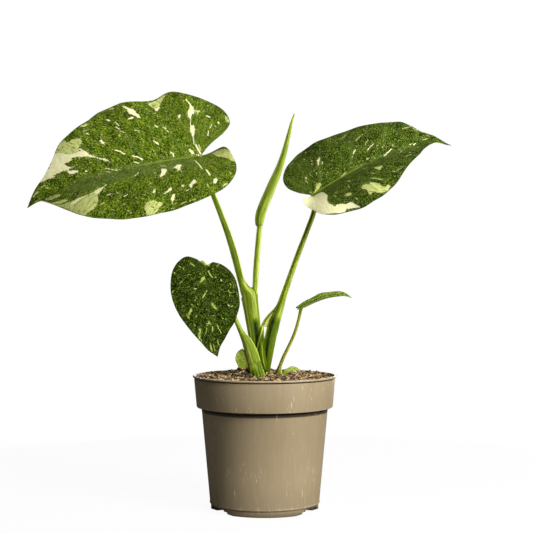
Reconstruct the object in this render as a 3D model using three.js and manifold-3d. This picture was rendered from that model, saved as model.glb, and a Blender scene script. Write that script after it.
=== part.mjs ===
// A young variegated monstera in a 12 cm nursery pot.
// Millimetres, +Z up. The pot stands on Z = 0 with its axis on Z, and its front faces -Y.

import * as THREE from 'three';
import { mergeVertices } from 'three/addons/utils/BufferGeometryUtils.js';
import Module from 'manifold-3d';

const wasm = await Module();
wasm.setup();

const GAP = 0.3;
const BLADE_THICKNESS = 0.9;

// What is cut round a stalk for its gap. It is wider than the gap because the sides of a stalk are flat.
const CLEARANCE = 0.35;

// The pot: a tapered body, a wider collar, a rolled lip and a foot with three drainage arches.
// A bead runs round the body below the collar, and a ridge round the foot.
const POT = {
  segments: 60,
  lipRadius: 60,
  lipBottom: 108.5,
  top: 111,
  edge: 0.6,
  collarTopRadius: 59,
  collarRadius: 56.8,
  collarBottom: 84.7,
  beadHeight: 3.2,
  beadWidth: 0.9,
  bodyTopRadius: 52.5,
  bodyRadius: 45.6,
  ridge: 5.6,
  footRadius: 44.8,
  innerRound: 6,
  wall: 1.3,
  floor: 1.6,
};
const ARCH = {
  angles: [-30, 90, 210],
  width: 20,
  innerWidth: 7,
  endSlope: 10,
  endHeight: 2.9,
  endRadius: 40.5,
  height: 2.7,
  innerRadius: 12,
  recessRadius: 42.4,
  recessHeight: 5.2,
  roof: 1.5,
  side: 1.5,
  holeRadius: 3.6,
  holeAt: 33,
  holeSides: 16,
};

// The soil: chips nearly level with the lip, with a mound left of the crown.
const SOIL = {
  level: 108.4,
  rise: 2,
  chip: 3,
  scatter: 0.5,
  roughness: 1.1,
  seed: 7,
  mound: { x: -17.5, y: -12, height: 10, spread: 5.2 },
  crown: { x: -4, y: -4, height: 2.2, spread: 20 },
};

// A blade is drawn flat: a runs along the midrib from the petiole, b across it.
// plus and minus are the margins on either side, from the notch at the petiole round the lobe to the tip.
// The flat blade is then folded at the midrib, curled, drooped, swayed and twisted, all in degrees.
const LEAVES = {
  upper_left: {
    base: [-53.3, 0, 294.4],
    along: [-0.984, -0.091, -0.154],
    facing: [-0.054, -0.67, 0.741],
    length: 156,
    width: 64,
    droop: 34,
    sway: -4,
    twist: -10,
    fold: { plus: 17.5, minus: 13 },
    curl: { plus: 20, minus: 10 },
    rise: { plus: 2.2, minus: 0 },
    wave: { height: 1.6, length: 46, phase: 0.6 },
    plus: [[0, 0], [-10, 3], [-20, 8], [-27, 20], [-25, 38], [-11, 59], [15, 69], [43, 73], [71, 68],
      [95, 55], [111, 39], [126, 22], [138, 8], [147, 4], [156, 0]],
    minus: [[0, 0], [-8, 10], [-24, 22], [-31, 40], [-17, 65], [11, 83], [38, 76], [53, 72], [73, 71],
      [98, 58], [118, 42], [130, 23], [146, 9], [156, 0]],
    lobeLines: 6,
    veinLines: 14,
    steps: 6,
  },
  right: {
    base: [40.3, 8, 261.8],
    along: [0.849, 0.053, 0.526],
    facing: [-0.41, -0.562, 0.718],
    length: 132,
    width: 55,
    droop: 40,
    sway: -4,
    twist: 2,
    fold: { plus: 18, minus: 22 },
    curl: { plus: 22, minus: 28 },
    rise: { plus: 0, minus: 7 },
    wave: { height: 1.4, length: 40, phase: 2.2 },
    plus: [[0, 0], [-7, 10], [-13, 30], [-3, 49], [18, 61], [42, 59], [63, 52], [84, 45],
      [103, 34], [112, 18], [124, 7], [132, 0]],
    minus: [[0, 0], [-7, 3.5], [-12, 12], [-12, 28], [-4, 50], [18, 61], [42, 64], [63, 52], [78, 38],
      [90, 27], [102, 16], [117, 6], [132, 0]],
    lobeLines: 5,
    veinLines: 13,
    steps: 6,
  },
  low_left: {
    base: [-48.4, -26, 202.2],
    along: [0.11, -0.29, -0.951],
    facing: [0.246, -0.919, 0.309],
    length: 76,
    width: 32,
    droop: 8,
    sway: 8,
    twist: 0,
    fold: { plus: 7, minus: 6 },
    curl: { plus: 18, minus: 18 },
    rise: { plus: 0, minus: 0 },
    wave: { height: 0.7, length: 30, phase: 1 },
    plus: [[0, 0], [-4, 5], [-2, 12], [3, 19], [11, 24], [21, 26], [32, 26], [42, 22],
      [51, 17], [60, 10], [67, 5], [76, 0]],
    minus: [[0, 0], [-6, 5], [-8, 16], [-2, 25], [9, 30], [21, 31], [33, 28], [44, 24],
      [53, 18], [63, 11], [71, 5], [76, 0]],
    lobeLines: 4,
    veinLines: 10,
    steps: 5,
  },
  small_right: {
    base: [30.2, -2, 166.6],
    along: [0.882, 0.03, 0.47],
    facing: [-0.46, -0.19, 0.87],
    length: 46,
    width: 12,
    droop: 46,
    sway: 0,
    twist: 0,
    fold: { plus: 14, minus: 25 },
    curl: { plus: 14, minus: 14 },
    rise: { plus: 0, minus: 0 },
    wave: { height: 0.4, length: 16, phase: 0 },
    plus: [[0, 0], [-3, 3], [-4, 7], [3, 10.5], [13, 11.5], [24, 10], [34, 6.5], [41, 3], [46, 0]],
    minus: [[0, 0], [-3, 3], [-4, 7], [3, 10.5], [13, 11], [24, 9.5], [34, 6], [41, 3], [46, 0]],
    lobeLines: 3,
    veinLines: 8,
    steps: 4,
  },
};

// The cupped bract at the foot of the crown, and the curled one that lies by the small petiole.
const BRACTS = {
  crown: {
    base: [-10.5, -12.6, 117.5],
    along: [-0.77, 0.14, 0.62],
    facing: [0.2, -0.97, 0.1],
    length: 15.5,
    width: 9,
    droop: -15,
    sway: 0,
    twist: 0,
    fold: { plus: 6, minus: 4 },
    curl: { plus: -40, minus: 16 },
    rise: { plus: 0, minus: 0 },
    wave: { height: 0.5, length: 7, phase: 0 },
    plus: [[-1, 3], [4, 7], [9, 8.5], [13, 6.5], [15.5, 0]],
    minus: [[-1, 3], [5, 8], [11.5, 10], [15, 6], [15.5, 0]],
    lobeLines: 1,
    veinLines: 5,
    steps: 3,
  },
  small: {
    base: [13, -1.8, 109.6],
    along: [0.62, -0.03, 0.785],
    facing: [-0.7, -0.35, 0.55],
    length: 21,
    width: 5,
    droop: 103,
    sway: 0,
    twist: 15,
    fold: { plus: 25, minus: 20 },
    curl: { plus: 40, minus: 40 },
    rise: { plus: 0, minus: 0 },
    wave: { height: 0.4, length: 6, phase: 0 },
    plus: [[-1, 1.5], [5, 3.2], [12, 3.4], [18, 2], [21, 0]],
    minus: [[-1, 1.5], [5, 3], [12, 3], [18, 1.8], [21, 0]],
    lobeLines: 1,
    veinLines: 5,
    steps: 2,
  },
};

// A stalk is a row of sections from the soil up: x, y, z of the centre, half the width and half the depth.
const STALKS = {
  crown: [
    [-3.4, -15.6, 90, 3.6, 3.6], [-4.2, -16, 100, 4.9, 4.8], [-5, -16, 108, 5.7, 5.4],
    [-6.9, -16, 115.8, 5.7, 5.3], [-8.5, -16, 122.2, 5.5, 5.1],
  ],
  low_left: [
    [-8.6, -16, 122.6, 5.5, 5.1], [-10.4, -16.5, 129.6, 5.1, 4.6], [-13.1, -17, 136.2, 4.7, 4],
    [-15.2, -17, 140.6, 3.8, 3.3], [-18, -17, 145.5, 2.7, 2.5], [-21.2, -17, 151.8, 2, 2],
    [-26.5, -17, 164.2, 1.8, 1.8], [-31.5, -16, 175, 1.7, 1.7], [-39, -15.5, 188, 1.65, 1.65],
    [-45.2, -17, 197, 1.65, 1.65], [-48, -21, 201, 1.65, 1.65],
  ],
  upper_left: [
    [-5.6, 1.2, 95, 3.4, 3.4], [-5.7, 1.2, 108, 4.2, 4.1], [-6.2, 1, 120, 4.5, 4.4],
    [-7.1, 0.7, 132, 4.9, 4.5], [-8.2, 0.3, 143, 5.4, 4.6], [-9.6, 0, 154.5, 6, 4.6],
    [-11, 0, 164, 6.3, 4.6], [-12.1, -0.1, 172, 6.8, 4.6], [-13.2, -0.2, 178, 7.1, 4.5],
    [-15.8, -0.2, 181.5, 5, 4.1], [-17.5, 0, 184.8, 3.9, 3.6], [-18.9, 0, 188, 3.2, 3.2],
    [-20.6, 0, 193.5, 2.95, 2.95],
    [-24.7, 0, 209.5, 3, 2.9], [-29.7, 0, 226.3, 2.8, 2.7], [-35.7, 0, 243, 2.5, 2.4],
    [-42.4, 2, 259.8, 2.2, 2.2], [-48.7, 4.6, 275.9, 2.1, 2.1], [-52, 4.6, 286, 2.1, 2.1],
    [-53.1, 2, 291.6, 2.1, 2.1],
  ],
  right: [
    [3, 6.5, 96, 2.5, 2.5], [2.4, 6.2, 108, 2.9, 2.9], [1.7, 5.4, 114.4, 3.1, 3.4],
    [1.9, 4.2, 121.5, 3.9, 4.2], [2.6, 3.4, 129, 4.6, 4.6], [3.6, 3.2, 136, 4.9, 4.7],
    [5.2, 3.4, 143.5, 4.9, 4.6], [8, 3.8, 154.4, 4.8, 4.3], [11.3, 4, 163.4, 3.8, 3.6],
    [14.2, 4, 171.8, 3.1, 3], [16.9, 4, 180.2, 2.7, 2.7],
    [22.7, 5, 197, 2.4, 2.4], [28.8, 6, 213.8, 2.3, 2.3], [35.3, 8, 230.7, 2.1, 2.1],
    [41, 11, 246, 2.1, 2.1], [42.6, 12.4, 254, 2.1, 2.1], [41.6, 10.6, 259.4, 2.1, 2.1],
  ],
  spear: [
    [-8.6, 0.4, 148, 1.7, 1.7], [-8.6, 0.2, 158, 1.9, 1.9], [-8.6, -0.2, 168, 2, 2],
    [-8.4, -0.4, 176, 2.1, 2.1], [-7.9, -0.8, 184.5, 2.35, 2.3], [-7.3, -1, 197, 2.45, 2.4],
    [-6, -1, 213.7, 2.35, 2.3], [-4.3, -1, 230.4, 2.35, 2.3], [-3.7, -1, 235.2, 2.3, 2.3],
  ],
  small_right: [
    [9.6, -2, 97, 2.4, 2.4], [10.7, -2, 106, 3.6, 3.4], [11.3, -2, 111, 3.5, 3.2],
    [12.2, -2, 117.7, 2.1, 2], [15.5, -2, 126.1, 1.75, 1.7], [19.6, -2, 134.4, 1.6, 1.6],
    [23.5, -2, 142.8, 1.5, 1.5], [26.5, -2, 151.1, 1.4, 1.4], [28.8, -2, 159.5, 1.35, 1.35],
    [29.8, -1.9, 163.6, 1.35, 1.35],
  ],
};

// The right petiole's sheath: the part that clasps the upper left petiole, and the edge that bows back.
const SHEATH = {
  clasp: [
    [0, 3.4, 115, 2.4, 3.4], [-2.4, 1.8, 121.5, 4.4, 6], [-3.9, 1.2, 129, 4.8, 6.8],
    [-4.2, 1, 136, 4.3, 6.8], [-3.7, 0.8, 143, 3.3, 6.4], [-2.6, 1.2, 148.5, 2.1, 4.8],
    [-2, 2.2, 151.5, 1.2, 3],
  ],
  edge: [
    [11.5, 4.5, 170, 1.2, 0.8], [7.6, 5.2, 165.6, 1.6, 0.8], [2.9, 5.4, 161, 1.8, 0.8],
    [-0.3, 5, 155.8, 1.7, 0.8], [-1.9, 4, 149.4, 1.6, 1], [-2.3, 3.2, 143, 1.6, 1.2],
    [-2, 3, 136, 1.6, 1.2],
  ],
};

// The newest leaf, still rolled: x, y, z of its centre, then half the width and half the depth.
const SPEAR = [
  [-3.6, -1, 235.7, 2.9, 2.8], [-3.4, -1, 237.2, 3.4, 3.2], [-3.9, -1, 240.5, 4.3, 3.8],
  [-2.8, -1, 247.1, 4.5, 4], [0.1, -1, 255.5, 4.5, 4], [3.7, -1, 263.8, 4.2, 3.8], [7.2, -1, 272.2, 3.9, 3.5],
  [10.8, -1, 280.5, 3.5, 3.2], [13.8, -1, 288.9, 2.9, 2.8], [16.3, -1, 297.2, 2.5, 2.4],
  [18.5, -1, 305.6, 2.1, 2], [20.5, -1, 313.9, 1.7, 1.6], [22.5, -1, 322.3, 1.1, 1.1],
  [24.8, -1, 329.5, 0.4, 0.4],
];
const SPEAR_OVERLAP = 0.24;

const COLOURS = {
  pot: 0xa89a7c,
  soil: 0x6b4c36,
  stem: 0x6f9428,
  petiole: 0x8ba63a,
  blade: 0x3f6a1c,
  spear: 0x7da432,
};

const radians = THREE.MathUtils.degToRad;
const vector = (values) => new THREE.Vector3(...values);

// The numbers of rows at t, which runs from 0 to 1 along them, on a smooth curve through every row.
function smooth(rows, t) {
  const place = t * (rows.length - 1);
  const i = Math.min(Math.floor(place), rows.length - 2);
  const w = place - i;
  const before = rows[Math.max(i - 1, 0)];
  const after = rows[Math.min(i + 2, rows.length - 1)];
  return rows[i].map((value, k) => {
    const next = rows[i + 1][k];
    const leave = (next - before[k]) / 2;
    const arrive = (after[k] - value) / 2;
    return (2 * value - 2 * next + leave + arrive) * w ** 3
      + (3 * next - 3 * value - 2 * leave - arrive) * w ** 2 + leave * w + value;
  });
}

function geometryOf(points, triangles) {
  const geometry = new THREE.BufferGeometry();
  geometry.setAttribute('position', new THREE.Float32BufferAttribute(points.flatMap((p) => p.toArray()), 3));
  geometry.setIndex(triangles.flat());
  return geometry;
}

// Booleans on closed geometries.
function solid(geometry) {
  const bare = geometry.clone();
  bare.deleteAttribute('normal');
  bare.deleteAttribute('uv');
  const merged = mergeVertices(bare, 1e-4);
  return new wasm.Manifold(new wasm.Mesh({
    numProp: 3,
    vertProperties: new Float32Array(merged.attributes.position.array),
    triVerts: new Uint32Array(merged.index.array),
  }));
}

function geometryFrom(manifold) {
  const pieces = manifold.decompose().sort((a, b) => b.volume() - a.volume());
  const mesh = pieces[0].getMesh();
  const geometry = new THREE.BufferGeometry();
  geometry.setAttribute('position', new THREE.BufferAttribute(mesh.vertProperties, 3));
  geometry.setIndex(new THREE.BufferAttribute(mesh.triVerts, 1));
  return geometry;
}

const cut = (body, ...tools) => tools.reduce((rest, tool) => rest.subtract(tool), body);
const join = (body, ...others) => others.reduce((rest, other) => rest.add(other), body);

// A closed body through rings of points, each ring with the same number of points, capped at both ends.
function loft(rings) {
  const count = rings[0].length;
  const points = rings.flat();
  const triangles = [];
  for (let i = 0; i + 1 < rings.length; i += 1) {
    for (let j = 0; j < count; j += 1) {
      const a = i * count + j;
      const b = i * count + (j + 1) % count;
      triangles.push([a, b, b + count], [a, b + count, a + count]);
    }
  }
  const centre = (ring) => ring.reduce((sum, p) => sum.add(p), new THREE.Vector3()).divideScalar(count);
  const last = (rings.length - 1) * count;
  const bottom = points.push(centre(rings[0])) - 1;
  const top = points.push(centre(rings[rings.length - 1])) - 1;
  for (let j = 0; j < count; j += 1) {
    const next = (j + 1) % count;
    triangles.push([bottom, next, j], [top, last + j, last + next]);
  }
  return geometryOf(points, triangles);
}

const ROUND = (angle) => [Math.cos(angle), Math.sin(angle)];

// A rolled section: it grows as it goes round, and the step back is the free edge of the roll.
function rolled(angle) {
  const turn = ((angle + Math.PI) % (2 * Math.PI)) / (2 * Math.PI);
  const reach = 1 - SPEAR_OVERLAP + SPEAR_OVERLAP * turn;
  return [reach * Math.cos(angle), reach * Math.sin(angle)];
}

// The ring of a stalk's section at t, square to the stalk.
function ringAt(rows, t, sides, section, extra) {
  const step = 0.01;
  const [x, y, z, width, depth] = smooth(rows, t);
  const ahead = vector(smooth(rows, Math.min(t + step, 1)).slice(0, 3));
  const behind = vector(smooth(rows, Math.max(t - step, 0)).slice(0, 3));
  const tangent = ahead.sub(behind).normalize();
  const across = new THREE.Vector3(0, 1, 0).cross(tangent).normalize();
  const inward = tangent.clone().cross(across);
  const centre = new THREE.Vector3(x, y, z);
  const ring = [];
  for (let j = 0; j < sides; j += 1) {
    const [u, v] = section((j + 0.5) / sides * 2 * Math.PI);
    ring.push(centre.clone().addScaledVector(across, u * (width + extra))
      .addScaledVector(inward, v * (depth + extra)));
  }
  return { ring, tangent };
}

// A stalk, whose top is cut along the blade that it carries where it has one.
function stalk(rows, { sides = 10, perRow = 2, section = ROUND, extra = 0, blade = null } = {}) {
  const count = (rows.length - 1) * perRow;
  const rings = [];
  let last = null;
  for (let i = 0; i <= count; i += 1) {
    last = ringAt(rows, i / count, sides, section, extra);
    rings.push(last.ring);
  }
  if (extra > 0) {
    const first = ringAt(rows, 0, sides, section, extra);
    rings.unshift(first.ring.map((p) => p.clone().addScaledVector(first.tangent, -extra)));
    rings.push(last.ring.map((p) => p.clone().addScaledVector(last.tangent, extra)));
  } else if (blade) {
    const facing = vector(blade.facing).normalize();
    const seat = vector(blade.base).addScaledVector(facing, -BLADE_THICKNESS / 2 - GAP);
    rings.push(last.ring.map((p) => {
      const reach = facing.dot(seat.clone().sub(p)) / facing.dot(last.tangent);
      return p.clone().addScaledVector(last.tangent, reach);
    }));
  }
  return loft(rings);
}

// Where the midrib is at a, with the directions across the blade and out of its face.
function midribAt(leaf, a) {
  const along = vector(leaf.along).normalize();
  const facing = vector(leaf.facing);
  facing.addScaledVector(along, -facing.dot(along)).normalize();
  const across = facing.clone().cross(along);
  const frame = (at) => {
    const share = at / leaf.length;
    const sway = radians(leaf.sway) * share * Math.abs(share);
    const droop = radians(leaf.droop) * share * Math.abs(share);
    const level = along.clone().multiplyScalar(Math.cos(sway)).addScaledVector(across, Math.sin(sway));
    const side = facing.clone().cross(level);
    const ahead = level.clone().multiplyScalar(Math.cos(droop)).addScaledVector(facing, -Math.sin(droop));
    const up = facing.clone().multiplyScalar(Math.cos(droop)).addScaledVector(level, Math.sin(droop));
    return { ahead, side, up, twist: radians(leaf.twist) * share };
  };
  const steps = 24;
  const point = vector(leaf.base);
  for (let i = 0; i < steps; i += 1) {
    point.addScaledVector(frame(a * (i + 0.5) / steps).ahead, a / steps);
  }
  const { side, up, twist } = frame(a);
  const across2 = side.clone().multiplyScalar(Math.cos(twist)).addScaledVector(up, Math.sin(twist));
  const out = up.clone().multiplyScalar(Math.cos(twist)).addScaledVector(side, -Math.sin(twist));
  return { point, across: across2, out };
}

// A lobe rises towards the notch by leaf.rise at this distance behind the petiole, within this width.
const NOTCH_REACH = 10;
const NOTCH_WIDTH = 16;

// The middle of the blade's thickness at the flat place a, b. sign is the side of the midrib.
function bladeAt(leaf, a, b, sign) {
  const { point, across, out } = midribAt(leaf, a);
  const side = sign > 0 ? 'plus' : 'minus';
  const reach = Math.abs(b);
  const fold = radians(leaf.fold[side]);
  const bend = radians(leaf.curl[side]) / leaf.width;
  const away = (Math.sin(fold) - Math.sin(fold - bend * reach)) / bend;
  const wave = leaf.wave.height * (reach / leaf.width) ** 2
    * Math.sin(2 * Math.PI * a / leaf.wave.length + leaf.wave.phase);
  const near = Math.exp(-((reach / NOTCH_WIDTH) ** 2));
  const rise = leaf.rise[side] * (Math.min(a, 0) / NOTCH_REACH) ** 2 * near;
  const lift = (Math.cos(fold - bend * reach) - Math.cos(fold)) / bend + wave + rise;
  return point.addScaledVector(across, sign * away).addScaledVector(out, lift);
}

function bladeNormal(leaf, a, b) {
  if (Math.abs(b) < 1e-6) return midribAt(leaf, a).out;
  const sign = Math.sign(b);
  const step = 0.25;
  const ahead = bladeAt(leaf, a + step, b, sign).sub(bladeAt(leaf, a - step, b, sign));
  const side = bladeAt(leaf, a, b + step, sign).sub(bladeAt(leaf, a, b - step, sign));
  return ahead.cross(side).normalize();
}

// How far along the midrib the vein to a place on the margin starts.
const VEIN_LEAN = 0.5;
const VEIN_BOW = 1.25;
const veinRoot = ([a, b]) => a - VEIN_LEAN * Math.abs(b);

// The lines that the blade is built on: a fan to the lobe's margin, then one line for each vein.
function veinLines(leaf, side) {
  const margin = leaf[side];
  const first = 1 / (margin.length - 1);
  const crossing = (root, from) => {
    let low = from;
    let high = 1;
    for (let i = 0; i < 40; i += 1) {
      const middle = (low + high) / 2;
      if (veinRoot(smooth(margin, middle)) < root) low = middle;
      else high = middle;
    }
    return (low + high) / 2;
  };
  const lobeEnd = crossing(0, first * 3);
  const start = margin[0][1] === 0 ? first : 0;
  const lines = [];
  for (let i = 0; i <= leaf.lobeLines; i += 1) {
    const t = start + (lobeEnd - start) * i / leaf.lobeLines;
    lines.push({ root: 0, end: smooth(margin, t), bow: 1 });
  }
  for (let i = 1; i < leaf.veinLines; i += 1) {
    const root = leaf.length * i / leaf.veinLines;
    lines.push({ root, end: smooth(margin, crossing(root, first * 3)), bow: VEIN_BOW });
  }
  lines.push({ root: leaf.length, end: [leaf.length, 0], bow: 1 });
  return lines;
}

function bladeGeometry(leaf, thickness) {
  const places = [];
  const found = new Map();
  const place = (a, b) => {
    const key = `${a.toFixed(3)} ${b.toFixed(3)}`;
    if (!found.has(key)) found.set(key, places.push([a, b]) - 1);
    return found.get(key);
  };
  const face = [];
  const addTriangle = (i, j, k, flip) => {
    if (i === j || j === k || i === k) return;
    face.push(flip ? [i, k, j] : [i, j, k]);
  };
  for (const [side, sign] of [['plus', 1], ['minus', -1]]) {
    const rows = veinLines(leaf, side).map(({ root, end, bow }) => {
      const row = [];
      for (let j = 0; j <= leaf.steps; j += 1) {
        const q = j / leaf.steps;
        const b = j === 0 ? 0 : sign * end[1] * q;
        row.push(place(root + (end[0] - root) * q ** bow, b));
      }
      return row;
    });
    for (let i = 0; i + 1 < rows.length; i += 1) {
      for (let j = 0; j < leaf.steps; j += 1) {
        addTriangle(rows[i][j], rows[i + 1][j], rows[i + 1][j + 1], sign < 0);
        addTriangle(rows[i][j], rows[i + 1][j + 1], rows[i][j + 1], sign < 0);
      }
    }
  }
  const top = [];
  const bottom = [];
  for (const [a, b] of places) {
    const middle = bladeAt(leaf, a, b, b < 0 ? -1 : 1);
    const normal = bladeNormal(leaf, a, b);
    top.push(middle.clone().addScaledVector(normal, thickness / 2));
    bottom.push(middle.clone().addScaledVector(normal, -thickness / 2));
  }
  const count = places.length;
  const triangles = face.concat(face.map(([i, j, k]) => [i + count, k + count, j + count]));
  const edges = new Set(face.flatMap(([i, j, k]) => [`${i} ${j}`, `${j} ${k}`, `${k} ${i}`]));
  for (const edge of edges) {
    const [i, j] = edge.split(' ').map(Number);
    if (!edges.has(`${j} ${i}`)) triangles.push([j, i, i + count], [j, i + count, j + count]);
  }
  return geometryOf(top.concat(bottom), triangles);
}

// A body turned about Z from its outline: each point is a radius and a height.
function turned(outline, segments = POT.segments) {
  const geometry = new THREE.LatheGeometry(outline.map(([r, z]) => new THREE.Vector2(r, z)), segments);
  return geometry.rotateX(Math.PI / 2);
}

// The inside of the pot, from the lip down, and grown inwards by a gap.
function potInside(gap) {
  const step = POT.wall + gap;
  return [
    [POT.collarTopRadius - step, POT.lipBottom],
    [POT.collarRadius - step, POT.collarBottom + POT.wall + POT.edge],
    [POT.bodyTopRadius - step, POT.collarBottom + POT.edge],
    [POT.footRadius - step, POT.floor + POT.innerRound],
    [POT.footRadius - step - POT.innerRound, POT.floor + gap],
    [0, POT.floor + gap],
  ];
}

// A block over one drainage arch, from an inner to an outer radius, tapering inwards.
function archBlock(angle, inner, outer, low, high, side) {
  const taper = (ARCH.width - ARCH.innerWidth) / (POT.footRadius - ARCH.innerRadius);
  const half = (r) => (ARCH.innerWidth + taper * (r - ARCH.innerRadius)) / 2 + side;
  const shape = new THREE.Shape([
    new THREE.Vector2(inner, -half(inner)), new THREE.Vector2(outer, -half(outer)),
    new THREE.Vector2(outer, half(outer)), new THREE.Vector2(inner, half(inner)),
  ]);
  const block = new THREE.ExtrudeGeometry(shape, { depth: high - low, bevelEnabled: false });
  return solid(block.translate(0, 0, low).rotateZ(radians(angle)));
}

// What each arch adds inside the pot: a raised channel, closed at the wall.
function archCovers(gap) {
  const outer = POT.footRadius - POT.wall / 2;
  const low = POT.floor / 2;
  const side = ARCH.side + gap;
  const roof = ARCH.roof + gap;
  return ARCH.angles.flatMap((angle) => [
    archBlock(angle, ARCH.innerRadius - side, outer, low, ARCH.height + roof, side),
    archBlock(angle, ARCH.recessRadius - side, outer, low, ARCH.recessHeight + roof, side),
  ]);
}

// Cuts through the bottom of the pot start this far below it.
const BELOW = -1;

// The slanted ends of the feet on either side of an arch.
function footEnds(angle) {
  const half = ARCH.width / 2;
  const lean = ARCH.endSlope / ARCH.endHeight;
  const shape = new THREE.Shape([
    new THREE.Vector2(BELOW, -half - lean * (ARCH.endHeight - BELOW)),
    new THREE.Vector2(ARCH.endHeight, -half),
    new THREE.Vector2(ARCH.endHeight, half),
    new THREE.Vector2(BELOW, half + lean * (ARCH.endHeight - BELOW)),
  ]);
  const length = POT.lipRadius - ARCH.endRadius;
  const prism = new THREE.ExtrudeGeometry(shape, { depth: length, bevelEnabled: false });
  prism.rotateY(-Math.PI / 2).translate(POT.lipRadius, 0, 0);
  return solid(prism.rotateZ(radians(angle)));
}

function potGeometry() {
  const { edge } = POT;
  const beadRadius = POT.bodyTopRadius + POT.beadWidth;
  const outside = [
    [0, 0], [POT.footRadius, 0], [POT.footRadius, POT.ridge - edge], [POT.bodyRadius, POT.ridge],
    [POT.bodyTopRadius, POT.collarBottom - POT.beadHeight],
    [beadRadius, POT.collarBottom - POT.beadHeight / 2],
    [beadRadius, POT.collarBottom], [POT.collarRadius - edge, POT.collarBottom],
    [POT.collarRadius, POT.collarBottom + edge], [POT.collarTopRadius, POT.lipBottom],
    [POT.lipRadius - edge, POT.lipBottom], [POT.lipRadius, POT.lipBottom + edge],
    [POT.lipRadius, POT.top - edge], [POT.lipRadius - edge, POT.top], [POT.collarTopRadius - edge, POT.top],
  ];
  const body = join(solid(turned(outside.concat(potInside(0)))), ...archCovers(0));
  const channels = ARCH.angles.map((angle) => (
    archBlock(angle, ARCH.innerRadius, POT.lipRadius, BELOW, ARCH.height, 0)));
  const recesses = ARCH.angles.map((angle) => (
    archBlock(angle, ARCH.recessRadius, POT.lipRadius, BELOW, ARCH.recessHeight, 0)));
  const holes = ARCH.angles.map((angle) => {
    const depth = 2 * (ARCH.roof + POT.floor);
    const hole = new THREE.CylinderGeometry(ARCH.holeRadius, ARCH.holeRadius, depth, ARCH.holeSides);
    return solid(hole.rotateX(Math.PI / 2).translate(ARCH.holeAt, 0, ARCH.height).rotateZ(radians(angle)));
  });
  return geometryFrom(cut(body, ...channels, ...recesses, ...ARCH.angles.map(footEnds), ...holes));
}

// A seeded number from 0 to 1.
let seed = SOIL.seed;
function draw() {
  seed = (seed * 1103515245 + 12345) % 2147483648;
  return seed / 2147483648;
}

function soilHeight(x, y) {
  const heap = ({ x: cx, y: cy, height, spread }) => (
    height * Math.exp(-((x - cx) ** 2 + (y - cy) ** 2) / (2 * spread ** 2)));
  const back = SOIL.rise * (y / POT.lipRadius + 1) / 2;
  return SOIL.level + back + heap(SOIL.mound) + heap(SOIL.crown);
}

// Soil fills the pot. Its top is rough with chips, and each stalk stands in a hole of its own.
function soilGeometry(standing) {
  const across = 2 * POT.lipRadius;
  const cells = Math.round(across / SOIL.chip);
  const block = new THREE.BoxGeometry(across, across, SOIL.level, cells, cells, 1);
  block.translate(0, 0, SOIL.level / 2 + BELOW);
  block.deleteAttribute('normal');
  block.deleteAttribute('uv');
  const merged = mergeVertices(block, 1e-4);
  const at = merged.attributes.position;
  for (let i = 0; i < at.count; i += 1) {
    if (at.getZ(i) > 0) {
      const x = at.getX(i) + (draw() - 0.5) * SOIL.chip * SOIL.scatter;
      const y = at.getY(i) + (draw() - 0.5) * SOIL.chip * SOIL.scatter;
      at.setXYZ(i, x, y, soilHeight(x, y) + (draw() - 0.5) * 2 * SOIL.roughness);
    }
  }
  const inside = potInside(GAP);
  const [inner, brim] = inside[0];
  const above = brim + SOIL.mound.height + SOIL.crown.height;
  const filling = solid(turned([[0, above], [inner, above], ...inside].reverse()));
  return geometryFrom(cut(solid(merged).intersect(filling), ...archCovers(GAP), ...standing));
}

const clear = (name) => solid(stalk(STALKS[name], { extra: CLEARANCE }));

function crownGeometry() {
  const bract = solid(bladeGeometry(BRACTS.crown, BLADE_THICKNESS));
  return geometryFrom(cut(join(solid(stalk(STALKS.crown, { sides: 12 })), bract), clear('low_left')));
}

function smallRightGeometry() {
  const bract = solid(bladeGeometry(BRACTS.small, BLADE_THICKNESS));
  return geometryFrom(join(solid(stalk(STALKS.small_right, { blade: LEAVES.small_right })), bract));
}

function upperLeftGeometry() {
  const body = solid(stalk(STALKS.upper_left, { sides: 12, blade: LEAVES.upper_left }));
  return geometryFrom(cut(body, clear('spear')));
}

function rightGeometry() {
  const body = solid(stalk(STALKS.right, { sides: 12, blade: LEAVES.right }));
  const clasp = solid(stalk(SHEATH.clasp, { sides: 12 }));
  const edge = solid(stalk(SHEATH.edge, { sides: 8 }));
  return geometryFrom(cut(join(body, clasp, edge), clear('upper_left'), clear('crown')));
}

const plant = new THREE.Group();

function addPiece(name, geometry, colour, roughness) {
  const material = new THREE.MeshStandardMaterial({ color: colour, roughness, metalness: 0 });
  const mesh = new THREE.Mesh(geometry, material);
  mesh.name = name;
  plant.add(mesh);
}

const standing = ['crown', 'upper_left', 'right', 'small_right'].map(clear);
standing.push(solid(stalk(SHEATH.clasp, { extra: CLEARANCE })));
const bractRoom = Object.values(BRACTS).map((bract) => (
  solid(bladeGeometry(bract, BLADE_THICKNESS + 2 * GAP))));

addPiece('pot', potGeometry(), COLOURS.pot, 0.5);
addPiece('soil', soilGeometry([...standing, ...bractRoom]), COLOURS.soil, 0.95);
addPiece('crown_stem', crownGeometry(), COLOURS.stem, 0.45);
addPiece('petiole_low_left', stalk(STALKS.low_left, { blade: LEAVES.low_left }), COLOURS.petiole, 0.4);
addPiece('petiole_upper_left', upperLeftGeometry(), COLOURS.petiole, 0.4);
addPiece('petiole_right', rightGeometry(), COLOURS.petiole, 0.4);
addPiece('petiole_spear', stalk(STALKS.spear), COLOURS.petiole, 0.4);
addPiece('petiole_small_right', smallRightGeometry(), COLOURS.petiole, 0.4);
for (const [name, leaf] of Object.entries(LEAVES)) {
  addPiece(`blade_${name}`, bladeGeometry(leaf, BLADE_THICKNESS), COLOURS.blade, 0.35);
}
addPiece('blade_spear', stalk(SPEAR, { sides: 14, section: rolled }), COLOURS.spear, 0.35);

export default plant;
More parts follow.
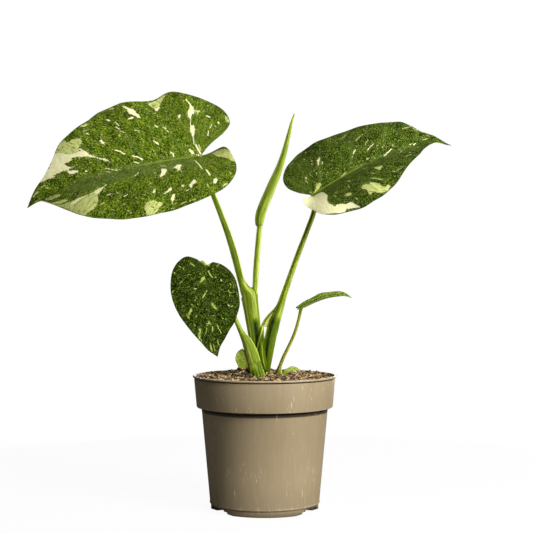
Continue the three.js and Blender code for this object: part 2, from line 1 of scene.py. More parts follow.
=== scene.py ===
"""A young variegated monstera in a 12 cm nursery pot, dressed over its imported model.

Shapes are worked out in millimetres and become metres as they enter a mesh. +Z is up and the front faces -Y.
"""

import math

import bpy
import numpy as np
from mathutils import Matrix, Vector


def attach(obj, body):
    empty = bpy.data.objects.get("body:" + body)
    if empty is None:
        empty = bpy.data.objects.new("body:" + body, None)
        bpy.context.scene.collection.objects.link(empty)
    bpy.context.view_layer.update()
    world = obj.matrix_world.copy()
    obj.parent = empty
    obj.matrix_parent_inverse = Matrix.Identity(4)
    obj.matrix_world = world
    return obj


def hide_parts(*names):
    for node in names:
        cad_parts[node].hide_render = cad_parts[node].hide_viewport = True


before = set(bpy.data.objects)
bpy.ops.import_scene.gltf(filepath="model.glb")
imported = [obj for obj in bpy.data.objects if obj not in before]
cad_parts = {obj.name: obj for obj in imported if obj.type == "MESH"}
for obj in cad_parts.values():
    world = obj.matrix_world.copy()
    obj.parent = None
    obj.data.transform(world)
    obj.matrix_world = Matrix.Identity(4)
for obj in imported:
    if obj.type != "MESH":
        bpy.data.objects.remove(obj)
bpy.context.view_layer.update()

MM = 0.001

# The pot: a tapered body, a wider collar, a rolled lip and a foot with three drainage arches.
POT = {
    "segments": 160,
    "lip_radius": 60,
    "lip_bottom": 108.5,
    "lip_height": 1.5,
    "lip_groove": 0.5,
    "top": 111,
    "collar_top_radius": 59,
    "collar_radius": 56.8,
    "collar_bottom": 84.7,
    "bead_height": 3.2,
    "bead_width": 0.35,
    "undercut": 0.9,
    "undercut_height": 1.6,
    "body_top_radius": 52.5,
    "body_radius": 45.6,
    "ridge": 5.6,
    "ridge_width": 0.3,
    "ridge_height": 0.8,
    "foot_radius": 44.8,
    "inner_round": 6,
    "wall": 1.3,
    "floor": 1.6,
}
ARCH = {
    "angles": (-30, 90, 210),
    "width": 20,
    "inner_width": 7,
    "end_slope": 10,
    "end_height": 2.9,
    "end_radius": 40.5,
    "height": 2.7,
    "inner_radius": 12,
    "recess_radius": 42.4,
    "recess_height": 5.2,
    "roof": 1.5,
    "side": 1.5,
    "hole_radius": 3.6,
    "hole_at": 33,
}

# The top of the soil: nearly level with the lip, with a mound left of the crown.
SOIL = {
    "level": 108.4,
    "rise": 2,
    "mound": (-17.5, -12, 10, 5.2),
    "crown": (-4, -4, 2.2, 20),
}

# A blade is drawn flat: a runs along the midrib from the petiole, b across it, both in millimetres. plus
# and minus are the margins on either side, from the end of the lobe by the notch round to the tip. notch is
# how each side of the notch bows, 1 where it is straight. Pairs are for the plus and the minus side. The
# blade is folded at the midrib, curled, drooped, swayed and twisted, and its last part is hooked, all in
# degrees. fan is the number of lines that fan out to the lobe's margin, veins that of the lines beyond it,
# and across that of the steps from the midrib to the margin.
LEAVES = {
    "upper_left": dict(
        base=(-53.3, 1.3, 294.4), along=(-0.984, -0.091, -0.154), facing=(-0.054, -0.67, 0.741),
        length=156, width=64, droop=34, sway=-4, twist=-10,
        fold=(17.5, 13), curl=(20, 10), rise=(2.2, 0), wave=(1.6, 46, 0.6),
        notch=(0.172, 1.28),
        plus=[(-23.7, 14.8), (-25.8, 28.5), (-23.3, 42.9), (-15.6, 55), (-4.1, 64.1), (9, 70.5),
              (23.6, 70.4), (38.2, 71.9), (52.5, 74.3), (66.3, 69.3), (79.5, 62.9), (93, 57.5),
              (104.1, 47.9), (113.4, 36.7), (122.6, 25.2), (131.8, 13.8), (142.2, 2.4), (156, 0)],
        minus=[(-22, 22), (-29.9, 33.7), (-28.1, 48.7), (-20.9, 62.4), (-10.3, 73.6), (4.2, 78),
               (18.4, 83.5), (32, 77.5), (47, 74), (62.5, 74.4), (77.7, 71.9), (89.1, 61.7),
               (102.5, 53.9), (115.7, 45.9), (123.5, 32.6), (132.9, 20.4), (145.2, 11.1), (156, 0)],
        fan=84, veins=165, across=88, vein_gap=11.5),
    "right": dict(
        base=(40.3, 8, 261.8), along=(0.849, 0.053, 0.526), facing=(-0.41, -0.562, 0.718),
        length=133.2, width=55, droop=40, sway=-4, twist=2,
        fold=(18, 22), curl=(22, 28), rise=(0, 7), wave=(1.4, 40, 2.2),
        hook=14,
        plus=[(-8.1, 9.9), (-13.2, 22.1), (-12, 35.4), (-4.8, 46.2), (5, 54.6), (14.8, 63.1),
              (27.4, 60.9), (39.4, 56.2), (52.3, 56.9), (64.4, 52.2), (75.8, 46), (88.4, 42.9),
              (100.1, 37.9), (105.5, 25.8), (110.5, 13), (121.6, 5.7), (133.2, 0)],
        minus=[(-10, 9.2), (-11.6, 20.5), (-9.8, 33.2), (-6.6, 46.4), (1.3, 56.5), (13.9, 59.8),
               (25.9, 65.3), (38.8, 66.7), (50.1, 60.2), (61.4, 53.6), (71.6, 45.5), (81.2, 36.4),
               (90.3, 27.3), (98.8, 18.3), (108.2, 11.5), (119.5, 4.2), (133.2, 0)],
        fan=64, veins=150, across=70, vein_gap=10),
    "low_left": dict(
        base=(-48.4, -26, 202.2), along=(0.11, -0.29, -0.951), facing=(0.246, -0.919, 0.309),
        length=76, width=32, droop=8, sway=8, twist=0,
        fold=(7, 6), curl=(18, 18), rise=(0, 0), wave=(0.7, 30, 1),
        plus=[(-2.9, 6.7), (-0.3, 13.7), (4.9, 19.8), (11.7, 23.9), (19.5, 25.4), (27.5, 25.6),
              (35.4, 24.9), (42.9, 22), (50, 18.3), (56.2, 13.2), (62.6, 8.4), (68.8, 3.4), (76, 0)],
        minus=[(-5.8, 6.6), (-8.3, 15), (-3.7, 22.7), (3.8, 27.8), (12.6, 29.9), (21.7, 30.4),
               (30.7, 29.2), (39.2, 26.1), (47.2, 21.7), (54.9, 17), (62.4, 11.8), (69.9, 6.7), (76, 0)],
        fan=46, veins=110, across=48, vein_gap=6.5),
    "small_right": dict(
        base=(30.2, -2, 166.6), along=(0.895, 0.03, 0.44), facing=(-0.43, -0.19, 0.88),
        length=45.5, width=12, droop=46, sway=0, twist=0,
        fold=(20, 25), curl=(14, 14), rise=(0, 0), wave=(0.4, 16, 0), hook=8,
        plus=[(-2.6, 3), (-3, 6), (3, 8), (13, 10.5), (24, 11.5), (34, 9.5), (41, 5), (45.5, 0)],
        minus=[(-2.6, 3), (-3.4, 7), (3, 10.5), (13, 11), (24, 9.5), (34, 6), (41, 3), (45.5, 0)],
        fan=20, veins=80, across=24, vein_gap=4),
}

# The cupped bract at the foot of the crown, and the curled one that lies by the small petiole.
BRACTS = {
    "crown": dict(
        base=(-15.2, -17.3, 118), along=(-0.2, 0.05, 0.98), facing=(-0.25, -0.96, 0.1),
        length=16.5, width=8, droop=-6, sway=0, twist=0,
        fold=(-12, -14), curl=(-30, -30), rise=(0, 0), wave=(0.4, 7, 0),
        plus=[(-1, 3), (3, 6.5), (9, 7.5), (14, 5), (16.5, 0)],
        minus=[(-1, 4), (4, 6), (8, 6), (12, 4), (16.5, 0)],
        fan=8, veins=40, across=20, vein_gap=2.2),
    "small": dict(
        base=(13, -1.8, 108.2), along=(0.64, -0.03, 0.765), facing=(-0.7, -0.35, 0.55),
        length=21, width=5, droop=108, sway=0, twist=15,
        fold=(25, 20), curl=(40, 40), rise=(0, 0), wave=(0.6, 6, 0),
        plus=[(-1, 1.5), (5, 3.2), (12, 3.4), (18, 2), (21, 0)],
        minus=[(-1, 1.5), (5, 3), (12, 3), (18, 1.8), (21, 0)],
        fan=6, veins=44, across=12, vein_gap=1.6),
}

# A stalk is a row of sections from the soil up: x, y, z of the centre, half the width and half the depth.
STALKS = {
    "crown": [
        (-3.4, -15.6, 90, 3.6, 3.6), (-4.2, -16, 100, 4.9, 4.8), (-5, -16, 108, 5.7, 5.4),
        (-6.9, -16, 115.8, 5.7, 5.3), (-8.55, -16, 122.45, 5.5, 5.1),
    ],
    "low_left": [
        (-8.6, -16, 122.6, 5.5, 5.1), (-10.4, -16.5, 129.6, 5.1, 4.6), (-13.1, -17, 136.2, 4.7, 4),
        (-15.2, -17, 140.6, 3.8, 3.3), (-18, -17, 145.5, 2.7, 2.5), (-21.2, -17, 151.8, 2, 2),
        (-26.5, -17, 164.2, 1.8, 1.8), (-31.5, -16, 175, 1.7, 1.7), (-39, -15.5, 188, 1.65, 1.65),
        (-45.2, -17, 197, 1.65, 1.65), (-48, -21, 201, 1.65, 1.65),
    ],
    "upper_left": [
        (-5.6, 1.2, 95, 3.4, 3.4), (-5.7, 1.2, 108, 4.2, 4.1), (-6.2, 1, 120, 4.5, 4.4),
        (-7.1, 0.7, 132, 4.9, 4.5), (-8.2, 0.3, 143, 5.4, 4.6), (-9.6, 0, 154.5, 6, 4.6),
        (-11, 0, 164, 6.3, 4.6), (-12.1, -0.1, 172, 6.8, 4.6), (-13.2, -0.2, 178, 7.1, 4.5),
        (-15.8, -0.2, 181.5, 5, 4.1), (-17.5, 0, 184.8, 3.9, 3.6), (-18.9, 0, 188, 3.2, 3.2),
        (-20.6, 0, 193.5, 2.95, 2.95),
        (-24.7, 0, 209.5, 3, 2.9), (-29.7, 0, 226.3, 2.8, 2.7), (-35.7, 0, 243, 2.5, 2.4),
        (-42.4, 2, 259.8, 2.2, 2.2), (-48.7, 4.6, 275.9, 2.1, 2.1), (-52, 4.6, 286, 2.1, 2.1),
        (-53.1, 2, 291.6, 2.1, 2.1),
    ],
    "right": [
        (3, 6.5, 96, 2.5, 2.5), (2.4, 6.2, 108, 2.9, 2.9), (1.7, 5.4, 114.4, 3.1, 3.4),
        (1.9, 4.2, 121.5, 3.9, 4.2), (2.6, 3.4, 129, 4.6, 4.6), (3.6, 3.2, 136, 4.9, 4.7),
        (5.2, 3.4, 143.5, 4.9, 4.6), (8, 3.8, 154.4, 4.8, 4.3), (11.3, 4, 163.4, 3.8, 3.6),
        (14.2, 4, 171.8, 3.1, 3), (16.9, 4, 180.2, 2.7, 2.7),
        (22.7, 5, 197, 2.4, 2.4), (28.8, 6, 213.8, 2.3, 2.3), (35.3, 8, 230.7, 2.1, 2.1),
        (41, 11, 246, 2.1, 2.1), (42.6, 12.4, 254, 2.1, 2.1), (41.6, 10.6, 259.4, 2.1, 2.1),
    ],
    "spear": [
        (-8.6, 0.4, 148, 1.7, 1.7), (-8.6, 0.2, 158, 1.9, 1.9), (-8.6, -0.2, 168, 2, 2),
        (-8.4, -0.4, 176, 2.1, 2.1), (-7.9, -0.8, 184.5, 2.35, 2.3), (-7.3, -1, 197, 2.45, 2.4),
        (-6.1, -1, 213.7, 2.35, 2.3), (-4.6, -1, 230.4, 2.3, 2.3), (-4.1, -1, 235.15, 2.3, 2.3),
    ],
    "small_right": [
        (9.6, -2, 97, 2.4, 2.4), (10.7, -2, 106, 3.6, 3.4), (11.3, -2, 111, 3.5, 3.2),
        (12.6, -2, 117.7, 1.75, 1.8), (15.8, -2, 126.1, 1.5, 1.55), (19.85, -2, 134.4, 1.4, 1.45),
        (23.7, -2, 142.8, 1.35, 1.4), (26.65, -2, 151.1, 1.3, 1.3), (28.9, -2, 159.5, 1.3, 1.3),
        (29.8, -1.9, 163.6, 1.3, 1.3),
    ],
}

# The right petiole's sheath: the part that clasps the upper left petiole, and the edge that bows back.
SHEATH = {
    "clasp": [
        (0, 3.4, 115, 2.4, 3.4), (-2.4, 1.8, 121.5, 4.4, 6), (-3.9, 1.2, 129, 4.8, 6.8),
        (-4.2, 1, 136, 4.3, 6.8), (-3.7, 0.8, 143, 3.3, 6.4), (-2.6, 1.2, 148.5, 2.1, 4.8),
        (-2, 2.2, 151.5, 1.2, 3),
    ],
    "edge": [
        (12.3, 3.4, 170.4, 0.9, 0.7), (8.4, 3, 166, 0.9, 0.7), (3.6, 2.9, 161, 0.9, 0.7),
        (-0.1, 3.2, 155.8, 1.1, 0.8), (-2.6, 3.6, 149.4, 1.3, 1), (-2.9, 3.8, 143, 1.5, 1.2),
        (-2.6, 3.4, 136, 1.6, 1.2),
    ],
}

# The thin membrane between the sheath's edge and the right petiole: its two sides from the top down.
MEMBRANE = {
    "outer": [(12.3, 3.4, 170.4), (8.4, 3, 166), (3.6, 2.9, 161), (-0.1, 3.2, 155.8), (-1.8, 3.6, 151.6)],
    "inner": [(13.4, 2.6, 169.6), (10.6, 2.2, 164), (7.4, 1.8, 158), (5.2, 2, 153.8), (3.4, 2.4, 150.4)],
    "thickness": 0.5,
}

# The newest leaf, still rolled, in the same rows as a stalk.
SPEAR = [
    (-4.6, -1, 235.3, 2.8, 2.6), (-4.62, -1, 236, 3.2, 2.9), (-4.6, -1, 237.4, 3.6, 3.3),
    (-4.5, -1, 239.5, 3.95, 3.6), (-3.95, -1, 243.5, 4.3, 3.9),
    (-2.8, -1, 247.9, 4.4, 4), (0.1, -1, 255.5, 4.3, 4), (3.7, -1, 263.8, 4.2, 3.8),
    (7.2, -1, 272.2, 3.9, 3.5),
    (10.8, -1, 280.5, 3.5, 3.2), (13.8, -1, 288.9, 2.9, 2.8), (16.3, -1, 297.2, 2.5, 2.4),
    (18.5, -1, 305.6, 2.1, 2), (20.5, -1, 313.9, 1.7, 1.6), (22.5, -1, 322.3, 1.1, 1.1),
    (24.8, -1, 329.5, 0.4, 0.4),
]

# How far its free edge stands out over the turn below it, as a share, and the angle where that edge lies.
SPEAR_OVERLAP = 0.1
SPEAR_FREE_EDGE = -100

# The marks on the blades, flat, by their kind: strokes by half their width, and outlines under 0. Cream and
# pale marks are laid on the green, and green ones are left in them.
MARKS = {
    "upper_left": {
        "cream": {
            0: [
                [(120, -38), (113, -34), (107, -30), (102, -30), (98, -30), (100, -32), (98, -33), (96, -30),
                 (92, -26), (92, -24), (88, -21), (85, -18), (81, -16), (78, -14), (76, -12), (72, -10),
                 (76, -11), (76, -10), (78, -12), (81, -14), (85, -17), (89, -20), (94, -22), (98, -23),
                 (102, -25), (106, -26), (107, -25), (106, -24), (109, -23), (114, -23), (112, -20),
                 (110, -18), (106, -16), (110, -16), (112, -15), (116, -16), (120, -16), (125, -16),
                 (124, -14), (126, -14), (131, -15), (138, -15), (138, -16), (134, -20), (128, -25),
                 (124, -32), (122, -35)],
                [(112.5, -14), (111.5, -14.5), (107, -13), (103.5, -11.5), (102.5, -9.5), (105, -9.5),
                 (108, -9.5), (111, -10.5), (112.5, -12.5)],
                [(81.5, -36), (79.5, -36.5), (77, -32.5), (78, -30.5), (80, -32)],
                [(91.5, 25.5), (89, 23), (86.5, 21.5), (82, 22.5), (84.5, 25), (86.5, 27.5), (88, 30)],
                [(113, 30), (108.5, 28), (102.5, 26.5), (98, 27), (102.5, 29), (107, 32)],
                [(30, -65), (26.5, -66), (29, -61), (30.5, -61), (32, -65)],
                [(54, -66), (49.5, -64), (47.5, -60), (45, -55.5), (44, -52), (46.5, -53), (49, -56),
                 (52, -58), (54.5, -62)],
                [(0.5, -60.5), (-1.5, -60.5), (-2, -55.5), (-2, -51), (1, -49), (2.5, -43), (4, -45.5),
                 (4, -52.5), (2.5, -55.5)],
                [(4, -36), (1, -35.5), (0.5, -30.5), (2, -25.5), (3.5, -20.5), (4.5, -25), (5, -30)],
                [(12.5, -50), (10.5, -50.5), (10.5, -47.5), (12.5, -45.5)],
                [(9.5, -8.5), (8, -9), (4.5, -3.5), (5.5, -2), (8.5, -5)],
                [(27, -39), (25, -37.5), (23, -31.5), (25, -34)],
                [(37.5, -24.5), (34.5, -22.5), (32, -18), (35, -20)],
                [(-4.5, 46.5), (-7.5, 44), (-8, 47.5), (-6, 52.5), (-4, 52)],
                [(24, 17.5), (21.5, 11.5), (17.5, 12.5), (19, 19), (21, 22), (22, 19.5)],
                [(35, 14), (30.5, 16), (30.5, 20.5), (33, 25.5), (36, 28), (37, 25.5), (35, 20.5)],
                [(43, 41.5), (42, 46.5), (43, 49), (44.5, 48), (44, 44.5)],
                [(36.5, 51.5), (33.5, 48.5), (31, 44.5), (29, 45.5), (29.5, 48.5), (33, 50)],
                [(31, 63), (31.5, 58.5), (29.5, 53), (27.5, 54), (28.5, 59.5)],
                [(15, 48), (13.5, 45.5), (10.5, 41.5), (8.5, 45), (9.5, 47.5), (12, 48.5), (14, 53),
                 (15, 52)],
            ],
            0.35: [
                [(79, -1.5), (77.5, 0)], [(2.5, -43.5), (4, -36)], [(3.5, -20.5), (4, -13.5)],
                [(21, 19), (22.5, 25)], [(23.5, 15.5), (26, 18.5)],
            ],
            0.4: [
                [(66.5, -48), (64, -44.5), (61.5, -40), (58.5, -37.5)], [(78.5, -43), (78.5, -41.5)],
                [(80, -5), (75.5, -2.5), (71, 0)], [(80.5, 19.5), (83.5, 22)], [(74.5, 21), (74, 22)],
                [(80.5, 34.5), (77, 34.5)], [(-16.5, -32.5), (-17, -32)], [(-14.5, -34.5), (-12.5, -31)],
                [(21, 18), (18.5, 26.5)], [(18.5, 54), (15.5, 53.5)], [(45.5, 30.5), (45, 34.5)],
                [(40.5, 21), (40, 19)], [(51.5, 48), (50.5, 49.5)], [(45, 57.5), (42, 60.5)],
            ],
            0.5: [
                [(66, -53), (63, -48)], [(72.5, 35), (71, 37)], [(20, -52.5), (18, -52)],
                [(-10.5, -27), (-9, -21.5)], [(3, -2), (0, 2)], [(56, -5), (52, -2.5)],
                [(50.5, -38.5), (47, -37)], [(6.5, 9), (4, 17), (2, 27.5)], [(56.5, 17.5), (53, 13)],
                [(57.5, 49.5), (57, 51)],
            ],
            0.6: [
                [(91, -47), (89.5, -45)], [(67.5, 42.5), (64.5, 42)], [(68.5, 51), (67.5, 52.5)],
            ],
            0.7: [
                [(69.5, -21.5), (66, -19), (62.5, -15)], [(97.5, -8), (96, -7.5)],
                [(3, -69), (2, -66.5), (0.5, -63), (0, -59.5)], [(-20, -37), (-20.5, -35)],
                [(2.5, -12.5), (1.5, -7.5), (0, -2)], [(33.5, -42), (31.5, -39.5)],
                [(24.5, -8.5), (23, -7), (22.5, -3.5)], [(56.5, -11.5), (52, -9), (48.5, -5.5)],
                [(-1, 30), (-2, 34.5), (-3, 39.5)],
            ],
            0.8: [
                [(-12, -47), (-14, -44.5)],
            ],
            0.9: [
                [(57, -69), (55, -67), (52, -63)], [(72.5, -59), (70.5, -57)], [(20.5, 45.5), (20, 48)],
            ],
            1: [
                [(54, -53), (51, -53.5)],
            ],
        },
        "pale": {
            0: [
                [(120, -38), (118, -42), (116, -45), (112, -48), (110, -47), (108, -44), (106, -44),
                 (104, -45), (100, -44), (97, -43), (96, -40), (96, -38), (98, -36), (100, -32), (98, -30),
                 (102, -30), (107, -30), (113, -34)],
                [(95.5, -56.5), (93.5, -58), (89, -57.5), (90, -55.5), (93, -54.5)],
                [(137, 4), (131, 4.5), (125, 6), (120, 10.5), (123.5, 11.5), (128.5, 11.5), (134.5, 7.5)],
                [(130, 15), (123.5, 17), (118, 19), (112.5, 23), (116.5, 23.5), (121, 23), (126, 19.5)],
                [(124, 22), (120, 25), (113, 26), (108, 27), (104, 25), (98, 26), (92, 25), (89, 23),
                 (86, 22), (82, 22), (84, 24), (86, 28), (88, 30), (88, 36), (88, 40), (90, 44), (92, 48),
                 (94, 48), (96, 50), (100, 52), (104, 48), (110, 41), (116, 32), (122, 26)],
                [(36, -73), (34, -74), (30, -76), (26, -79), (22, -82), (20, -80), (22, -76), (24, -73),
                 (26, -69), (27, -65), (29, -60), (30, -61), (32, -65), (34, -68), (36, -70)],
                [(-27, -44.5), (-29, -42), (-30, -38), (-30, -34), (-27.5, -35.5), (-26.5, -39.5)],
                [(-8, 2), (-12, 3), (-17, 5), (-21, 9), (-24, 14), (-26, 19), (-26, 26), (-23, 24),
                 (-21, 20), (-17, 16), (-12, 12), (-10, 6)],
                [(52, 61), (50, 59), (45, 57), (42, 60), (38, 61), (39, 64), (42, 68), (44, 72), (48, 74),
                 (52, 74), (52, 70), (53, 65)],
            ],
            0.35: [
                [(80, -67), (77.5, -63.5)],
            ],
            0.4: [
                [(-9, -54), (-10.5, -53.5)], [(7.5, -75.5), (7, -72.5)], [(39.5, -15.5), (37, -8.5)],
                [(18, -66.5), (16, -62.5)],
            ],
            0.5: [
                [(94, -50.5), (88.5, -50.5)], [(89.5, 50), (88.5, 51)], [(23, -59), (21.5, -58)],
                [(33, -57.5), (31, -58.5)], [(-14.5, -62.5), (-15, -61)], [(31, 65), (30.5, 66)],
            ],
            0.6: [
                [(138, -10.5), (134, -10)], [(133.5, -7.5), (132, -6.5)],
                [(147, -1), (141, 2.5), (132, 13), (122, 26)], [(1, 52), (0.5, 56.5)],
                [(23.5, 67), (20.5, 66.5)], [(17.5, 67.5), (12.5, 68)], [(64, 63), (63, 65.5)],
            ],
            0.7: [
                [(86, 44.5), (84, 43)], [(66, 60.5), (65, 62)], [(-4.5, -52.5), (-4, -49.5)],
                [(0, -12), (-0.5, -6)], [(-19, 39.5), (-19.5, 42.5)], [(34.5, 8.5), (31.5, 10.5)],
            ],
            0.8: [
                [(64.5, -37), (63.5, -35)],
            ],
            0.9: [
                [(69, -72), (65.5, -70.5)], [(-11.5, 56), (-14.5, 54)],
            ],
            1: [
                [(147, -6.5), (142.5, -8)], [(-3, -54.5), (-5, -52.5), (-6.5, -54)],
            ],
        },
        "green": {
            0.4: [
                [(108, 33.5), (102.5, 31.5)],
            ],
            0.6: [
                [(32.5, -70.5), (31, -69)],
            ],
            0.7: [
                [(47, 65), (45.5, 66)],
            ],
        },
    },
    "right": {
        "cream": {
            0: [
                [(-6, 6), (-4, 3), (-2, -2), (0, -6), (3, -6), (7, -8), (8, -16), (8, -24), (6, -28),
                 (4, -34), (4, -40), (5, -42), (6, -47), (8, -45), (12, -47), (14, -50), (18, -50),
                 (19, -52), (20, -56), (22, -62), (19, -60), (16, -58), (12, -56), (10, -58), (6, -58),
                 (0, -54), (-7, -48), (-10, -42), (-12, -34), (-14, -25), (-13, -17), (-11, -10)],
                [(25, 36), (24.5, 33), (22, 30), (19, 25.5), (19, 27.5), (21, 31.5), (21, 33.5)],
                [(24.5, 29.5), (24.5, 27), (23, 24), (23, 26.5)],
            ],
            0.35: [
                [(69, -39), (70, -39.5)], [(60.5, 14), (64.5, 16.5), (68.5, 18.5)],
                [(72.5, 11), (73.5, 9.5)], [(26, -27.5), (25.5, -32.5)], [(47, 15.5), (46.5, 14)],
                [(46, -12), (49, -12.5)], [(7.5, -45.5), (8, -46.5)],
            ],
            0.4: [
                [(81, -9), (86.5, -1)], [(47.5, -28.5), (49, -31)], [(15.5, 13.5), (16, 12.5)],
            ],
            0.5: [
                [(69.5, 0), (74, 2.5), (79, 5)], [(87, -16.5), (87.5, -17.5)], [(95, 3.5), (96, 4)],
                [(98, 2.5), (100, 3)], [(98.5, -6), (99, -7.5)], [(18, 38.5), (18, 37)],
                [(16, 34), (16.5, 33)], [(14, 20), (14, 18.5)], [(4.5, 22), (4.5, 20)],
                [(60.5, 14), (64, 16)],
            ],
            0.6: [
                [(53, 21), (51, 20), (49, 17.5)],
            ],
        },
        "pale": {
            0: [
                [(32, -42), (35, -41), (40, -44), (41, -42), (44, -46), (46, -49), (46, -54), (48, -56),
                 (50, -54), (52, -55), (52, -57), (49, -60), (46, -62), (42, -62), (39, -60), (37, -57),
                 (33, -59), (34, -52), (34, -49), (32, -46)],
                [(52.5, -19), (55, -21), (60.5, -23), (56.5, -28.5), (54.5, -29.5), (53.5, -23.5)],
                [(9, 10), (10, 8), (12.5, 7.5), (10.5, 4.5), (7, 2), (2, 0.5), (5, 4), (7, 7)],
                [(18.5, -38), (21.5, -38), (24.5, -42.5), (21.5, -43), (18.5, -41.5)],
            ],
            0.35: [
                [(55, 4.5), (57, 6)], [(105, 22.5), (106.5, 20)], [(9.5, 23.5), (9, 20)],
                [(3, 19.5), (3, 14.5)], [(14, -25.5), (15, -30.5)], [(16, -24.5), (16, -28.5)],
                [(46.5, 33.5), (47.5, 32)], [(50, 6.5), (48.5, 5.5)], [(11.5, -58), (14, -58)],
            ],
            0.4: [
                [(62, -40), (63.5, -44.5)], [(53, 0), (56, -3.5)], [(60.5, -47.5), (60.5, -48.5)],
                [(33, -61), (33, -61.5)], [(11.5, -29.5), (12.5, -33)], [(62, 21.5), (67, 26.5)],
                [(48, 43.5), (52.5, 46), (57, 50)], [(30, 46.5), (29.5, 43)], [(55.5, 4), (58, 5)],
                [(34.5, -29), (36, -29.5)],
            ],
            0.5: [
                [(65, -42), (69.5, -42.5)], [(80.5, -23.5), (86, -23.5)], [(105.5, 18.5), (110, 16.5)],
                [(107, 3.5), (111, 4)], [(69.5, 14.5), (71, 14.5)], [(81.5, 9.5), (81.5, 7)],
                [(30.5, -58.5), (31, -59.5)], [(58, 32), (62, 34.5), (66.5, 36)], [(23.5, -50), (24, -53)],
                [(13.5, 48), (14, 45.5)], [(19.5, 58), (19, 54.5)], [(0, 4), (0.5, 3)],
                [(28, -17), (30.5, -23.5)],
            ],
            0.6: [
                [(44, -36.5), (47, -39.5), (50, -45)], [(98, 26), (101.5, 25), (105.5, 24.5)],
                [(29, 0.5), (31.5, 1.5), (33.5, 2.5)],
            ],
        },
    },
    "low_left": {
        "cream": {
            0.35: [
                [(34.5, 15), (36, 17)], [(36, 17.5), (35.5, 19)],
            ],
            0.4: [
                [(12.5, 11.5), (14, 12)],
            ],
            0.5: [
                [(19, -11), (19.5, -10)],
            ],
        },
        "pale": {
            0: [
                [(8.5, -1.5), (11.5, -1.5), (13.5, -4), (17, -9.5), (14, -6), (10.5, -4.5)],
                [(31, 2), (33, 3.5), (37, 6), (38, 5), (35.5, 2.5), (33.5, 1.5)],
                [(34.5, -16), (37, -15), (39, -16.5), (41, -18), (39, -18.5), (36.5, -17)],
                [(46, -2.5), (49, -1), (49, -3.5), (51, -4.5), (49, -4.5)],
                [(52.5, -12.5), (51, -10), (54, -10), (56.5, -11), (60.5, -12), (60, -13), (57, -13),
                 (54, -11.5)],
                [(64, -4.5), (66.5, -3.5), (70, -3.5), (72, -3.5), (71, -4.5), (68, -5)],
            ],
            0.35: [
                [(22, -1.5), (21, -1)], [(39, -20.5), (41.5, -19.5)], [(66, -1.5), (69, -1.5), (71.5, -1.5)],
                [(52, -5), (56.5, -6.5)], [(62.5, 2.5), (66.5, 2.5)], [(54.5, 5.5), (57.5, 6)],
                [(60.5, -11), (62.5, -11)], [(24, 20.5), (24, 21.5)], [(14, -23), (12.5, -20.5)],
                [(18.5, -24.5), (17.5, -23.5)], [(21, -29.5), (19.5, -28)], [(7.5, -15.5), (7.5, -13.5)],
                [(26, -11), (27.5, -10)], [(29.5, -12), (28.5, -11.5)], [(32, -15), (32.5, -14)],
                [(32, -10), (32.5, -9.5)], [(48.5, -14.5), (49.5, -14.5)], [(16, 19), (17.5, 19.5)],
                [(17, 22), (20, 21.5)], [(4.5, -26.5), (6, -26)], [(-0.5, -22), (1, -20.5)],
                [(1.5, -18.5), (3, -18.5)], [(3, 5), (3.5, 6.5)], [(45, 9), (46, 9.5)],
                [(46, 11.5), (47, 12)], [(42.5, 1.5), (42.5, 3)], [(25.5, 24), (26.5, 24)],
            ],
            0.4: [
                [(10, 7), (10.5, 8)], [(1, 9.5), (-0.5, 11)], [(41, -18.5), (43, -18.5)],
                [(26, 17), (27, 17.5)], [(6.5, -5.5), (7.5, -4.5)],
            ],
            0.5: [
                [(-2.5, -12.5), (0, -9.5)], [(4.5, 2), (7.5, 3), (10.5, 5)], [(42.5, -12.5), (41, -11.5)],
                [(51.5, 0), (55, -0.5)], [(50.5, 4), (52, 4.5), (53.5, 4.5)],
                [(22, 17), (24, 17.5), (24, 19)],
            ],
            0.6: [
                [(27, -5), (25.5, -4), (23.5, -2.5)],
            ],
            0.7: [
                [(-2, 4), (0, 2.5)],
            ],
        },
    },
}


# Selecting, and the modelling tools that are used throughout.

def deselect():
    if bpy.context.mode != "OBJECT":
        bpy.ops.object.mode_set(mode="OBJECT")
    bpy.ops.object.select_all(action="DESELECT")


def take(piece):
    """Makes piece the only one selected."""
    deselect()
    piece.select_set(True)
    bpy.context.view_layer.objects.active = piece


def new_piece(name):
    """Names the primitive that was just added."""
    piece = bpy.context.object
    piece.name = name
    piece.data.name = name
    return piece


def places_of(piece):
    """The vertices of a piece, in millimetres."""
    flat = np.empty(len(piece.data.vertices) * 3, np.float32)
    piece.data.vertices.foreach_get("co", flat)
    return flat.reshape(-1, 3).astype(float) / MM


def place(piece, points):
    piece.data.vertices.foreach_set("co", (np.asarray(points) * MM).astype(np.float32).ravel())
    piece.data.update()


def normals_of(piece):
    flat = np.empty(len(piece.data.vertices) * 3, np.float32)
    piece.data.vertices.foreach_get("normal", flat)
    return flat.reshape(-1, 3).astype(float)


def mark_points(piece, name, values):
    """Gives each vertex a number that a finish reads by name."""
    layer = piece.data.attributes.get(name) or piece.data.attributes.new(name, "FLOAT", "POINT")
    layer.data.foreach_set("value", np.asarray(values, np.float32))


def marked(piece, name):
    values = np.empty(len(piece.data.vertices), np.float32)
    piece.data.attributes[name].data.foreach_get("value", values)
    return values.astype(float)


def lay_map(piece, name, pairs):
    """A map of the surface in millimetres, from one pair of numbers for each vertex."""
    corners = np.empty(len(piece.data.loops), np.int32)
    piece.data.loops.foreach_get("vertex_index", corners)
    layer = piece.data.uv_layers.new(name=name)
    layer.uv.foreach_set("vector", np.asarray(pairs, np.float32)[corners].ravel())


def merge_doubles(piece):
    take(piece)
    bpy.ops.object.mode_set(mode="EDIT")
    bpy.ops.mesh.select_all(action="SELECT")
    bpy.ops.mesh.remove_doubles(threshold=1e-6)
    bpy.ops.object.mode_set(mode="OBJECT")


